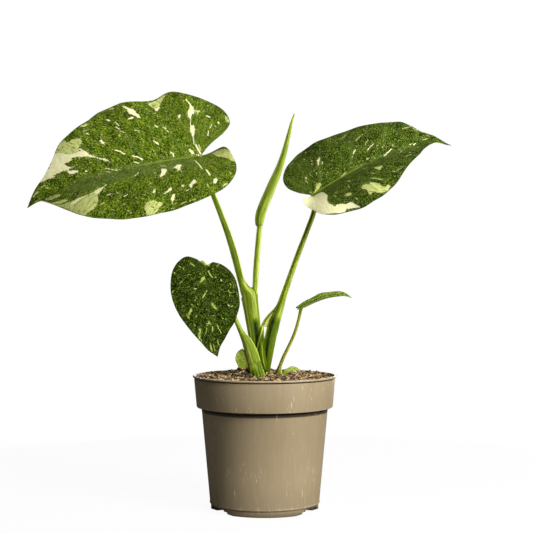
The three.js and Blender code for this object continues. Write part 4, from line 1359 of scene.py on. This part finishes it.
def chip_shape(name, size, offset, cuts, seed):
    """One chip: a block with its edges broken, cut by planes and roughened. Its size is in millimetres."""
    chip = block(name, -np.asarray(size) / 2, np.asarray(size) / 2)
    take(chip)
    bpy.ops.object.mode_set(mode="EDIT")
    bpy.ops.mesh.select_all(action="SELECT")
    bpy.ops.mesh.bevel(offset=offset * MM, offset_type="OFFSET", segments=1, affect="EDGES")
    for point, direction in cuts:
        bpy.ops.mesh.select_all(action="SELECT")
        bpy.ops.mesh.bisect(plane_co=[value * MM for value in point], plane_no=direction, use_fill=True,
                            clear_outer=True)
    bpy.ops.mesh.select_all(action="SELECT")
    bpy.ops.transform.vertex_random(offset=CHIP_ROUGHNESS * MM, seed=seed)
    bpy.ops.mesh.quads_convert_to_tris()
    bpy.ops.object.mode_set(mode="OBJECT")
    return chip


def fibre_shape():
    """One strand of coconut fibre, 10 mm long and slightly bent."""
    deselect()
    bpy.ops.mesh.primitive_circle_add(
        vertices=3, radius=FIBRE_RADIUS * MM, fill_type="NGON", location=(-5 * MM, 0, 0),
        rotation=(0, math.pi / 2, 0))
    fibre = new_piece("fibre")
    apply_place(fibre)
    take(fibre)
    bpy.ops.object.mode_set(mode="EDIT")
    for bend in (0.5, 0.35, -0.1, -0.4, -0.3):
        step = (FIBRE_STEP * MM, bend * MM, bend / 2 * MM)
        bpy.ops.mesh.extrude_region_move(TRANSFORM_OT_translate={"value": step})
    bpy.ops.object.mode_set(mode="OBJECT")
    return fibre


def shape_arrays(piece):
    """The vertices and the triangles of a shape, which is then put away."""
    take(piece)
    bpy.ops.object.mode_set(mode="EDIT")
    bpy.ops.mesh.select_all(action="SELECT")
    bpy.ops.mesh.quads_convert_to_tris()
    bpy.ops.mesh.normals_make_consistent(inside=False)
    bpy.ops.object.mode_set(mode="OBJECT")
    corners = [tuple(face.vertices) for face in piece.data.polygons]
    points = places_of(piece)
    bpy.data.objects.remove(piece)
    return points, np.array(corners)


def turns(spin, tilt, roll):
    """Rotation matrices that roll about X, tilt about Y and then spin about Z."""
    def about(axis, angle):
        matrix = np.zeros((len(angle), 3, 3))
        one, other = [i for i in range(3) if i != axis]
        matrix[:, axis, axis] = 1
        matrix[:, one, one] = matrix[:, other, other] = np.cos(angle)
        sine = np.sin(angle) * (-1 if axis == 1 else 1)
        matrix[:, one, other], matrix[:, other, one] = -sine, sine
        return matrix

    return about(2, spin) @ about(1, tilt) @ about(0, roll)


def scatter(draw, count, longest):
    """Places on the soil that are clear of the stalks and of the pot's wall.
    longest holds half the length of each shape."""
    found = []
    room = POT["collar_top_radius"] - POT["wall"] - 0.6
    while len(found) < count:
        half = longest[len(found)]
        radius = (room - half) * math.sqrt(draw.random())
        angle = draw.random() * 2 * math.pi
        x, y = radius * math.cos(angle), radius * math.sin(angle)
        if all(math.hypot(x - at_x, y - at_y) > reach + 0.55 * half for at_x, at_y, reach in STANDING):
            found.append((x, y))
    return np.array(found)


def make_chips():
    """The loose chips and fibres on top of the soil, in one piece."""
    draw = np.random.default_rng(CHIP_SEED)
    shapes = [shape_arrays(chip_shape(*shape, seed)) for seed, shape in enumerate(CHIP_SHAPES, 1)]
    shapes.append(shape_arrays(fibre_shape()))
    kinds = np.concatenate([draw.choice(FIBRE, CHIP_COUNT, p=CHIP_SHARES), np.full(FIBRE_COUNT, FIBRE)])
    fibres = kinds == FIBRE
    sizes = np.clip(draw.lognormal(-0.32, 0.3, len(kinds)), 0.38, 1.5)
    sizes[fibres] = np.clip(sizes[fibres], 0.5, 1.1)
    longest = np.array([abs(points[:, 0]).max() for points, _ in shapes])[kinds] * sizes
    spots = scatter(draw, len(kinds), longest)
    lift = draw.uniform(-0.9, 0.75, len(kinds))
    lift[fibres] += 0.7
    centres = np.column_stack([spots, soil_height(*spots.T) + lift])
    spin = draw.uniform(0, 2 * math.pi, len(kinds))
    tilt = draw.normal(0, 0.38, len(kinds)) * np.where(fibres, 0.3, 1)
    roll = draw.uniform(0, 2 * math.pi, len(kinds))
    matrices = turns(spin, tilt, roll)
    tones = draw.random(len(kinds))
    points, faces, tone, count = [], [], [], 0
    for kind, size, centre, matrix, shade in zip(kinds, sizes, centres, matrices, tones):
        own, triangles = shapes[kind]
        points.append(own * size @ matrix.T + centre)
        faces.append(triangles + count)
        tone.append(np.full(len(own), shade))
        count += len(own)
    mesh = bpy.data.meshes.new("soil_chips")
    mesh.from_pydata(np.concatenate(points) * MM, [], np.concatenate(faces).tolist())
    chips = bpy.data.objects.new("soil_chips", mesh)
    bpy.context.scene.collection.objects.link(chips)
    mark_points(chips, "tone", np.concatenate(tone))
    smooth_shading(chips, SMOOTH_UP_TO["chips"])
    return chips


# The finishes.

PALE_AND_CREAM = (seen(212, 216, 138), seen(162, 180, 74), seen(254, 250, 204), seen(238, 236, 172))
UNDERSIDE = (seen(112, 138, 62), seen(88, 118, 44))


def leaf_finish(
        name, dark, mid, light, speckle, band, band_from, band_to, midrib_fade, gap, fine=1.0, gloss=0.12,
        rough=0.42, glow=0.08, depth=0.0015, sheen=0.5, upper=-1, lines=1.0, speck=seen(218, 220, 140),
        marks=PALE_AND_CREAM, dull_under=0.7, under_tint=UNDERSIDE, rib_tint=seen(132, 148, 42),
        rib_width=1.3):
    """A blade's green with its streaks along the veins, its specks, and its cream and pale marks.
    speckle is the share of small pale dots and speck their colour. band is how strongly the olive band
    shows along the midrib, the blade's own olive streaks with a painted dull sheen, between the four places
    of band_from and out to band_to, and midrib_fade is where the midrib's line ends. sheen is how strongly
    the painted sheen shows as pale bands along the main veins, which lie gap apart, and upper the side of
    the midrib that they are on. fine makes the streaks finer. glow is how much light passes through the
    blade and depth how far it spreads, in metres. lines is how clear the veins are, marks the colours of the
    pale and the cream marks, dull_under how dull the underside is and under_tint its colours, painted light
    on the small right leaf. rib_tint and rib_width are the midrib's colour above, painted shade on the small
    right leaf, and its half width."""
    f = new_finish(name)
    vein, flat = f.on_map("vein"), f.on_map("flat")
    a, b, _ = f.parts(flat)
    spot, reach, _ = f.parts(vein)
    off_rib = abs(b)
    under = f.on_points("under")
    inset = f.on_points("inset")

    mottle = f.noise(f.scaled(vein, 0.16 * fine, 0.07 * fine), detail=2, roughness=0.5)
    streak = f.noise(f.scaled(vein, 0.9 * fine, 0.32 * fine), detail=4, roughness=0.72)
    hair = f.noise(f.scaled(f.moved(vein, 31, 7), 1.7 * fine, 0.34 * fine), detail=2, roughness=0.6)
    patch = f.noise(f.scaled(f.moved(vein, 11, 53), 0.42, 0.16), detail=3, roughness=0.6)
    fleck = f.noise(f.scaled(f.moved(vein, 71, 29), 1.25 * fine, 0.7 * fine), detail=1, roughness=0.5)
    lit = streak + (mottle - 0.5) * 0.35
    green = f.blend(mid, dark, f.between(lit, 0.51, 0.43))
    green = f.blend(green, light, f.between(lit, 0.55, 0.6) * 0.8)
    green = f.blend(green, dark, f.between(hair, 0.46, 0.4) * 0.85)
    green = f.blend(green, light, f.between(hair, 0.57, 0.63) * 0.7)

    # Painted sheen: grey-green bands along the main veins on the blade's upper side.
    along_vein = f.between(abs((spot - gap).zigzag(gap * 1.5)), 2.6, 0.8)
    out_along = reach * upper
    along_vein = along_vein * f.between(out_along, 5, 9) * f.between(out_along, 46, 30)
    along_vein = along_vein * f.between(streak, 0.36, 0.56)
    painted_sheen = f.blend(seen(108, 134, 52), seen(84, 112, 30), f.between(hair, 0.4, 0.6))
    green = f.blend(green, painted_sheen, along_vein * sheen)

    # The olive band beside the midrib: partly the blade's own olive streaks, partly a painted dull sheen.
    downwards = b * -upper
    near_rib = f.between(downwards, band_to, band_to * 0.55) * f.between(downwards, -5, -2)
    near_rib = near_rib * f.between(a, band_from[0], band_from[1]) * f.between(a, band_from[3], band_from[2])
    olive = f.blend(seen(116, 136, 60), seen(54, 78, 16), f.between(hair * 0.7 + streak * 0.3, 0.44, 0.56))
    green = f.blend(green, olive, near_rib * band * f.between(mottle, 0.3, 0.5))

    specks = f.between(fleck + (patch - 0.5) * 0.4, 0.69 - speckle * 0.08, 0.73 - speckle * 0.08)
    close = f.between(f.on_points("cream").most(f.on_points("pale")), -3, -0.4)
    nearby = f.between(hair + (streak - 0.5) * 0.6, 0.66, 0.71) * close
    green = f.blend(green, speck, specks.most(nearby) * 0.9)

    ragged = (streak - 0.5) * 4 + (hair - 0.5) * 2.4
    holes = f.between(patch + (hair - 0.5) * 0.5, 0.6, 0.66)
    pale_mask = f.between(f.on_points("pale") + ragged, -0.1, 0.2) * (1 - holes * 0.9)
    cream_mask = f.between(f.on_points("cream") + ragged, -0.1, 0.2)
    pale_light, pale_dark, cream_light, cream_dark = marks
    pale = f.blend(pale_light, pale_dark, f.between(streak * 0.5 + patch * 0.5, 0.46, 0.6))
    cream = f.blend(cream_light, cream_dark, f.between(patch, 0.4, 0.62))
    marked_green = f.blend(green, pale, pale_mask)
    marked_green = f.blend(marked_green, cream, cream_mask)

    off_vein = abs(spot.zigzag(gap / 2))
    vein_line = f.between(off_vein, 0.45, 0.1) * f.between(abs(reach), 34, 3) * (0.3 * lines)
    rib_line = f.between(off_rib, rib_width, rib_width * 0.4) * f.between(a, midrib_fade, midrib_fade * 0.6)
    rib_line = rib_line * (0.9 * lines)
    above = f.blend(marked_green, seen(128, 152, 48), vein_line * (1 - cream_mask))
    above = f.blend(above, rib_tint, rib_line * (1 - cream_mask))
    edge = f.between(inset, 0.7, 0.15) * (1 - cream_mask) * (0.45 * lines)
    above = f.blend(above, seen(40, 60, 14), edge)

    dull = f.blend(*under_tint, f.between(streak, 0.35, 0.65))
    below = f.blend(dull, marked_green, 1 - dull_under)
    below = f.blend(below, seen(190, 198, 128), cream_mask * 0.75)
    below = f.blend(below, seen(168, 188, 96), f.between(off_rib, 1.8, 0.9) * 0.9)
    colour = f.blend(above, below, f.between(under, 0.45, 0.55))

    grain = f.noise(f.scaled(flat, 1.4, 1.4), detail=3, roughness=0.6)
    network = f.cells(f.scaled(flat, 0.55, 0.55), output="Distance", feature="DISTANCE_TO_EDGE")
    height = grain * 0.35 + streak * 0.5 * (1 - cream_mask * 0.6) + f.between(network, 0.0, 0.12) * 0.35
    roughness = rough + (streak - 0.5) * 0.14 + under * 0.2 + cream_mask * 0.05
    return f.surface(
        Base_Color=colour, Roughness=roughness, Normal=f.bump(height, 0.35, 0.00025),
        Specular_IOR_Level=gloss, Subsurface_Weight=glow, Subsurface_Radius=(0.4, 0.4, 0.2),
        Subsurface_Scale=depth)


def stalk_finish(name, base, dark, light, deep):
    """Petioles: fine lengthwise streaks of light and dark green, and a painted deep shade where the tone is
    lowest.
    """
    f = new_finish(name)
    lengthwise = f.on_map("round")
    tone = f.on_points("tone")
    broad = f.noise(f.scaled(lengthwise, 0.5, 0.02), detail=3, roughness=0.55)
    fine = f.noise(f.scaled(f.moved(lengthwise, 17, 5), 1.9, 0.06), detail=3, roughness=0.6)
    blotch = f.noise(f.scaled(f.moved(lengthwise, 3, 9), 0.3, 0.09), detail=3, roughness=0.6)
    shade = (broad - 0.5) * 1.3 + (fine - 0.5) * 2.2 + (blotch - 0.5) * 0.5 + tone
    colour = f.blend(base, dark, f.between(shade, 0.1, -0.7))
    colour = f.blend(colour, light, f.between(shade, 0.0, 0.9))
    colour = f.blend(colour, deep, f.between(shade, -0.8, -1.7))
    flecks = f.cells(f.scaled(lengthwise, 0.8, 0.3))
    colour = f.blend(colour, light, f.between(flecks, 0.16, 0.08) * f.between(shade, -0.8, 0) * 0.5)
    height = fine * 0.7 + f.noise(f.scaled(lengthwise, 3, 1.2), detail=2) * 0.3
    return f.surface(
        Base_Color=colour, Roughness=0.48 + (blotch - 0.5) * 0.16, Normal=f.bump(height, 0.3, 0.0002),
        Specular_IOR_Level=0.13, Subsurface_Weight=1.0, Subsurface_Radius=(1.0, 1.0, 0.4),
        Subsurface_Scale=0.008)


# Heights of the pot's stretches of painted shade and painted highlight, in metres: the painted shade in the
# undercut and where it ends, the painted shade under the lip, the painted highlights on the collar's lower
# edge, the lip and the ridge, and the painted shade on the lower body and at the foot.
UNDERCUT_SHADE = 0.0826
UNDERCUT_TOP = (0.0849, 0.0846)
LIP_SHADE = 0.10885
COLLAR_EDGE = 0.0851
LIP_EDGE = (0.1099, 0.1106)
RIDGE_EDGE = 0.0064
LOWER_BODY_SHADE = (0.035, 0.004)
FOOT_SHADE = (0.0052, 0.0)


def pot_finish():
    """Taupe plastic with the faint upright flow marks of its moulding, with painted shade under the collar
    and the lip, on the lower body and at the foot, and painted highlights along its edges."""
    f = new_finish("taupe_plastic")
    spot = f.on_object()
    _, _, z = f.parts(spot)
    flow = f.noise(f.scaled(spot, 560, 560, 14), detail=2, roughness=0.5)
    broad = f.noise(f.scaled(spot, 60, 60, 9), detail=3, roughness=0.6)
    marks = f.noise(f.scaled(f.moved(spot, 0.3, 0.1, 0.2), 1100, 1100, 90), detail=1)
    rare = f.noise(f.scaled(f.moved(spot, 0.7, 0.4, 0.1), 130, 130, 40), detail=1)
    base = f.blend(seen(166, 148, 116), seen(160, 142, 110), f.between(broad, 0.35, 0.65))
    # Painted shade over the lower body, darker towards the foot.
    base = f.blend(base, seen(146, 130, 101), f.between(z, *LOWER_BODY_SHADE) * 0.8)
    colour = f.blend(base, seen(174, 156, 124), f.between(flow, 0.5, 0.7) * 0.35)
    colour = f.blend(colour, seen(152, 134, 103), f.between(flow, 0.46, 0.3) * 0.25)
    in_shade = f.between(abs(z - UNDERCUT_SHADE), 0.0024, 0.0012) * f.between(z, *UNDERCUT_TOP)
    colour = f.blend(colour, seen(44, 34, 22), in_shade * 0.9)
    colour = f.blend(colour, seen(60, 50, 32), f.between(abs(z - LIP_SHADE), 0.0006, 0.0003) * 0.8)
    dashes = f.between(marks, 0.65, 0.71) * f.between(rare, 0.56, 0.62)
    colour = f.blend(colour, seen(222, 206, 168), dashes * 0.8)
    # Painted highlights: paler bands where the collar's lower edge, the lip and the ridge catch the light.
    painted_highlight = f.between(abs(z - COLLAR_EDGE), 0.0006, 0.0003) + f.between(z, *LIP_EDGE)
    painted_highlight = painted_highlight + f.between(abs(z - RIDGE_EDGE), 0.0005, 0.0002) * f.between(broad, 0.42, 0.55)
    colour = f.blend(colour, seen(204, 187, 152), painted_highlight * (0.4 + (flow - 0.5)))
    # Painted shade at the foot.
    colour = f.blend(colour, seen(92, 79, 56), f.between(z, *FOOT_SHADE) * 0.75)
    dust = f.noise(f.scaled(spot, 900, 900, 900), detail=2)
    height = flow * 0.5 + dust * 0.3
    return f.surface(
        Base_Color=colour, Roughness=0.46 + (broad - 0.5) * 0.12, Normal=f.bump(height, 0.08, 0.0002),
        Specular_IOR_Level=0.35)


def soil_finish():
    """The dark filling under the chips."""
    f = new_finish("soil_filling")
    spot = f.on_object()
    lumps = f.noise(f.scaled(spot, 420, 420, 420), detail=4, roughness=0.7)
    grit = f.cells(f.scaled(spot, 700, 700, 700))
    colour = f.ramp(lumps, [(0.3, seen(22, 14, 7)), (0.52, seen(50, 34, 18)), (0.7, seen(104, 78, 46))])
    return f.surface(
        Base_Color=colour, Roughness=0.86 + (lumps - 0.5) * 0.2,
        Normal=f.bump(lumps + grit * 0.5, 0.8, 0.0012))


def chip_finish():
    """Coconut chips and fibre, each in a brown of its own."""
    f = new_finish("coconut_chips")
    spot = f.on_object()
    tone = f.on_points("tone")
    grain = f.noise(f.scaled(spot, 900, 900, 900), detail=3, roughness=0.65)
    colour = f.ramp(tone + (grain - 0.5) * 0.3, [
        (0.0, seen(38, 25, 12)), (0.25, seen(72, 50, 26)), (0.48, seen(128, 98, 58)),
        (0.7, seen(184, 152, 104)), (0.92, seen(216, 188, 140)), (1.0, seen(224, 190, 152))])
    colour = f.blend(colour, seen(48, 32, 16), f.between(grain, 0.5, 0.3) * 0.6)
    return f.surface(
        Base_Color=colour, Roughness=0.8 + (grain - 0.5) * 0.3, Normal=f.bump(grain, 0.6, 0.0004))


# The pieces.

# The crown's ribs: the angle of each and the height where it ends.
CROWN_RIBS = ((-176, 117), (-141, 121), (-113, 115), (-84, 120), (-57, 116), (-29, 121), (0, 116), (32, 119),
              (64, 116), (97, 120), (128, 116), (157, 119))


def crown_features(angle, top):
    """A rib of the crown, the groove beside it, darkened with painted shade, and the bump at its foot."""
    return [(86, top, [(86, angle - 3), (122, angle + 4)], 10, 0.4, 0.3),
            (86, top + 4, [(86, angle + 13), (124, angle + 18)], 4.5, -0.25, -0.35),
            (102, 105 + top / 20, [(102, angle), (112, angle + 2)], 5, 0.8, 0.8)]


# The creases, ribs and stripes of each stalk, as make_stalk takes them. Part of their lightness is painted
# light and shade: the light stripes on the left sides, the darker front and right of the upper left petiole
# above its sheath, the darkened crease and grooves, the dark V where the upper left sheath opens and the
# dark bands low on the right stalk and its clasp.
STALK_FEATURES = {
    "crown": [
        *[feature for rib in CROWN_RIBS for feature in crown_features(*rib)],
        # Painted light on the crown's left side.
        (86, 130, [(86, -170), (130, -165)], 26, 0, 0.7),
        (117.5, 124, [(110, -120), (124, -120)], 50, 0.35, 1.0),
    ],
    "low_left": [
        (122, 144, [(122, -24), (130, -19), (142, -13)], 7, 0.35, 0.9),
        (120, 135, [(122, -132), (134, -124)], 36, 0.15, 0.4),
        (126, 200, [(126, -150), (200, -150)], 14, 0, -0.5),
        # Painted light on the left side.
        (118, 150, [(118, -170), (150, -170)], 40, 0, 0.6),
    ],
    "upper_left": [
        # A crease darkened with painted shade.
        (116, 181, [(116, -86), (140, -88), (160, -86), (182, -84)], 6, -0.25, -0.3),
        # Painted light on the left side.
        (116, 190, [(116, 180), (190, 180)], 34, 0, 1.4),
        (116, 186, [(116, -128), (186, -126)], 7, 0.1, 0.5),
        (116, 186, [(116, -108), (186, -106)], 12, 0, -0.5),
        (150, 190, [(150, -70), (190, -66)], 30, 0.2, 0.45),
        (116, 186, [(116, -25), (186, -25)], 20, 0, -0.5),
        # Painted shadow in the dark V where the sheath opens.
        (132, 156, [(132, -66), (156, -72)], 24, -1.4, -2.0),
        # Painted light on the left side.
        (190, 292, [(190, 170), (292, 170)], 46, 0, 1.4),
        (190, 292, [(190, -95), (292, -95)], 30, 0, -0.35),
        # The front and right darkened with painted shade.
        (190, 292, [(190, -58), (292, -58)], 24, 0, -0.7),
        (190, 292, [(190, -30), (292, -30)], 12, 0.1, 1.3),
    ],
    "right": [
        (112, 262, [(112, -116), (262, -112)], 18, -0.1, -0.7),
        # Painted light on the left side.
        (112, 262, [(112, 175), (262, 175)], 40, 0, 1.3),
        (112, 262, [(112, -30), (262, -30)], 22, 0.1, 0.6),
        (112, 262, [(112, -70), (262, -70)], 16, 0, 0.3),
        (112, 262, [(112, -150), (262, -150)], 8, 0.05, 1.0),
        # Painted shade low on the front, between the crown and this stalk.
        (106, 158, [(106, -60), (158, -90)], 80, 0, -1.1),
    ],
    "clasp": [
        # Painted shade over the clasp's front.
        (112, 146, [(112, -90), (146, -80)], 75, 0, -1.3),
        (126, 152, [(126, -128), (136, -112), (146, -84), (152, -70)], 8, 0.5, 1.6),
        (116, 138, [(116, -70), (138, -62)], 6, 0.2, 1.7),
    ],
    "spear": [
        (150, 236, [(150, -90), (236, -90)], 120, 0, 0.3),
        # Painted light on the left side.
        (150, 236, [(150, 175), (236, 175)], 40, 0, 1.2),
        (150, 236, [(150, -110), (236, -110)], 18, 0, -0.5),
        (150, 236, [(150, -35), (236, -35)], 26, 0, 0.4),
    ],
    "rolled": [
        (232, 330, [(236, -116), (322, -108)], 20, 0, -0.35),
        (232, 330, [(236, -30), (322, -34)], 24, 0, 0.5),
        # Painted light on the left side.
        (232, 330, [(236, 180), (322, 180)], 46, 0, 1.6),
    ],
    "small_right": [
        (108, 165, [(108, -140), (165, -140)], 34, 0, -0.7),
        (108, 165, [(108, -30), (165, -30)], 30, 0, 0.8),
        (104, 116, [(104, -90), (116, -90)], 90, 0, -0.7),
    ],
}

LEAF_FINISHES = {
    "upper_left": leaf_finish(
        "leaf_upper_left", dark=seen(22, 44, 0), mid=seen(76, 106, 0), light=seen(154, 172, 44), speckle=0.5,
        band=0.85, band_from=(3, 12, 100, 124), band_to=24, midrib_fade=66, gap=11.5, sheen=0.75),
    "right": leaf_finish(
        "leaf_right", dark=seen(14, 30, 0), mid=seen(54, 80, 0), light=seen(116, 140, 34), speckle=0.5,
        band=0.5, band_from=(14, 40, 90, 125), band_to=16, midrib_fade=60, gap=10, fine=1.2, sheen=0.8,
        upper=1),
    "low_left": leaf_finish(
        "leaf_low_left", dark=seen(4, 12, 0), mid=seen(20, 36, 0), light=seen(66, 88, 14), speckle=0.9,
        band=0.1, band_from=(4, 12, 50, 70), band_to=6, midrib_fade=12, gap=6.5, fine=1.6, gloss=0.01,
        rough=0.6, sheen=0, speck=seen(140, 158, 64), lines=0.15,
        marks=(seen(172, 188, 90), seen(122, 142, 46), seen(214, 220, 140), seen(168, 184, 86))),
    # Small right leaf: dark midrib line is painted shade in the fold; bright underside is painted light.
    "small_right": leaf_finish(
        "leaf_small_right", dark=seen(88, 118, 22), mid=seen(122, 150, 36), light=seen(180, 196, 88),
        speckle=0.1, band=0.3, band_from=(4, 10, 30, 44), band_to=5, midrib_fade=52, gap=4, glow=1.0,
        depth=0.002, sheen=0.2, dull_under=0.9, under_tint=(seen(220, 246, 120), seen(190, 222, 84)),
        rib_tint=seen(30, 46, 0), rib_width=4.5),
    # The bracts' light greens are partly their own pale colour, partly painted light for light through them.
    "bract": leaf_finish(
        "bract", dark=seen(136, 160, 44), mid=seen(172, 192, 74), light=seen(214, 222, 130), speckle=0.06,
        band=0.0, band_from=(1, 2, 12, 15), band_to=4, midrib_fade=2, gap=2.2, glow=0.8, sheen=0,
        dull_under=0),
}

# The stalks' finishes: their base, dark and light colours, and that of their painted deep shade.
STALK_FINISHES = {
    name: stalk_finish(name, *(seen(*colour) for colour in colours)) for name, colours in {
        "petiole": ((128, 149, 32), (88, 110, 8), (206, 216, 108), (34, 48, 2)),
        "olive_petiole": ((132, 134, 40), (98, 100, 24), (196, 194, 106), (60, 60, 12)),
        # The membrane's greens are partly its own paler colour, partly painted light for light through the
        # sheet.
        "membrane": ((168, 196, 70), (138, 168, 44), (206, 220, 108), (96, 120, 20)),
        "crown": ((92, 116, 4), (62, 86, 0), (156, 176, 56), (30, 44, 2)),
        "rolled_leaf": ((128, 150, 40), (82, 106, 10), (198, 210, 98), (48, 66, 4)),
    }.items()}

finish_piece(dressed(make_pot(), pot_finish()), "pot")

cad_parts["soil"].material_slots[0].material = soil_finish()
finish_piece(dressed(make_chips(), chip_finish()), None)

# Each blade with its thickness, the height of its midrib and that of its swellings.
for name, thickness, ridge, quilt in (
        ("upper_left", 0.6, 1.7, 0.14), ("right", 0.6, 1.5, 0.12), ("low_left", 0.5, 0.9, 0.03),
        ("small_right", 0.45, 0.6, 0.06)):
    blade = make_blade(f"leaf_{name}", LEAVES[name], MARKS.get(name, {}), thickness, ridge, quilt)
    finish_piece(dressed(blade, LEAF_FINISHES[name]), f"blade_{name}")


def stalk(name, finish="petiole", **settings):
    """The stalk of this name, with its features and its finish."""
    made = make_stalk(f"stalk_{name}", STALKS[name], STALK_FEATURES[name], **settings)
    return dressed(made, STALK_FINISHES[finish])


crown = make_stalk("crown_base", STALKS["crown"], STALK_FEATURES["crown"], around=96, step=0.8)
crown_bract = make_blade("crown_bract", BRACTS["crown"], {}, 0.6, 0.3, 0.12)
crown = join_pieces(dressed(crown, STALK_FINISHES["crown"]), dressed(crown_bract, LEAF_FINISHES["bract"]))
finish_piece(crown, "crown_stem")

for name, around in (("low_left", 40), ("upper_left", 72)):
    finish_piece(stalk(name, around=around, seat=LEAVES[name]), f"petiole_{name}")

right = stalk("right", around=56, seat=LEAVES["right"])
clasp = make_stalk("stalk_clasp", SHEATH["clasp"], STALK_FEATURES["clasp"], around=56, step=0.8,
                   round_ends=(False, True))
edge = make_stalk("stalk_edge", SHEATH["edge"], around=28, step=0.8, round_ends=(True, True))
membrane = make_membrane("stalk_membrane", rows=40, columns=12, tone=0.2)
for part in (clasp, edge):
    dressed(part, STALK_FINISHES["petiole"])
right = join_pieces(right, clasp, edge, dressed(membrane, STALK_FINISHES["membrane"]))
finish_piece(right, "petiole_right")

finish_piece(stalk("spear", around=40), "petiole_spear")

spear = make_stalk("rolled_leaf", SPEAR, STALK_FEATURES["rolled"], around=64, step=0.9, section=rolled)
finish_piece(dressed(spear, STALK_FINISHES["rolled_leaf"]), "blade_spear")

small = stalk("small_right", "olive_petiole", around=36, seat=LEAVES["small_right"])
small_bract = make_blade("small_bract", BRACTS["small"], {}, 0.5, 0.2, 0.08)
small = join_pieces(small, dressed(small_bract, LEAF_FINISHES["bract"]))
finish_piece(small, "petiole_small_right")


# The studio, in metres: a pale floor that runs out into white, soft lights and the camera.

FLOOR_SIZE = 6

# The floor turns into plain white between these distances from the pot, and has at least this share of it
# everywhere.
FLOOR_FADE = (0.1, 0.5)
FLOOR_GLOW = 0.95

# How strong the even light from all round is.
AIR_STRENGTH = 0.08

# The soft boxes: name, place, the point each is aimed at, size and power.
SOFT_BOXES = (
    ("key", (0.87, -0.93, 0.875), (0, 0, 0.14), (0.7, 0.7), 33),
    ("fill", (-1.2, -1.0, 0.6), (0, 0, 0.2), (0.8, 0.8), 0.4),
    ("back", (0.3, 1.6, 0.3), (0, 0, 0.18), (1.2, 0.6), 16),
)

CAMERA_PLACE = (0.0015, -1.075, 0.2016)
CAMERA_LENS = 86.86
CAMERA_SENSOR = 36


def floor_finish():
    f = new_finish("pale_floor")
    x, y, _ = f.parts(f.on_object())
    away = (x * x + y * y) ** 0.5
    pale = f.node("BsdfDiffuse", {"Color": (0.92, 0.92, 0.92, 1)})
    glow = f.node("Emission", {"Color": (1, 1, 1, 1), "Strength": 1.0})
    shown = f.node("MixShader", {0: f.between(away, *FLOOR_FADE).most(FLOOR_GLOW), 1: pale, 2: glow})
    quiet = f.node("BsdfDiffuse", {"Color": (0.2, 0.2, 0.2, 1)})
    looked_at = f.node("LightPath", {}, output="Is Camera Ray")
    f.node("OutputMaterial", {"Surface": f.node("MixShader", {0: looked_at, 1: quiet, 2: shown})})
    return f.owner


def add_floor():
    deselect()
    bpy.ops.mesh.primitive_plane_add(size=FLOOR_SIZE)
    floor = new_piece("floor")
    floor.data.materials.append(floor_finish())


def add_studio_air():
    """White behind the plant, and a soft even light from all round."""
    world = bpy.data.worlds.new("studio")
    bpy.context.scene.world = world
    f = Finish(world)
    seen_white = f.node("Background", {"Color": (1, 1, 1, 1), "Strength": 1.0})
    fill = f.node("Background", {"Color": (1, 0.92, 0.8, 1), "Strength": AIR_STRENGTH})
    looked_at = f.node("LightPath", {}, output="Is Camera Ray")
    mixed = f.node("MixShader", {0: looked_at, 1: fill, 2: seen_white})
    f.node("OutputWorld", {"Surface": mixed})


def add_soft_box(name, place, aim, size, power):
    lamp = bpy.data.lights.new(name, "AREA")
    lamp.shape = "RECTANGLE"
    lamp.size, lamp.size_y = size
    lamp.energy = power
    box = bpy.data.objects.new(name, lamp)
    box.location = place
    box.rotation_euler = (Vector(aim) - Vector(place)).to_track_quat("-Z", "Y").to_euler()
    box.visible_camera = False
    bpy.context.scene.collection.objects.link(box)


def add_camera():
    camera_data = bpy.data.cameras.new("camera")
    camera_data.lens = CAMERA_LENS
    camera_data.sensor_width = CAMERA_SENSOR
    camera = bpy.data.objects.new("camera", camera_data)
    camera.location = CAMERA_PLACE
    camera.rotation_euler = (math.pi / 2, 0, 0)
    bpy.context.scene.collection.objects.link(camera)
    bpy.context.scene.camera = camera


add_floor()
add_studio_air()
for soft_box in SOFT_BOXES:
    add_soft_box(*soft_box)
add_camera()
bpy.context.scene.view_settings.view_transform = "Standard"
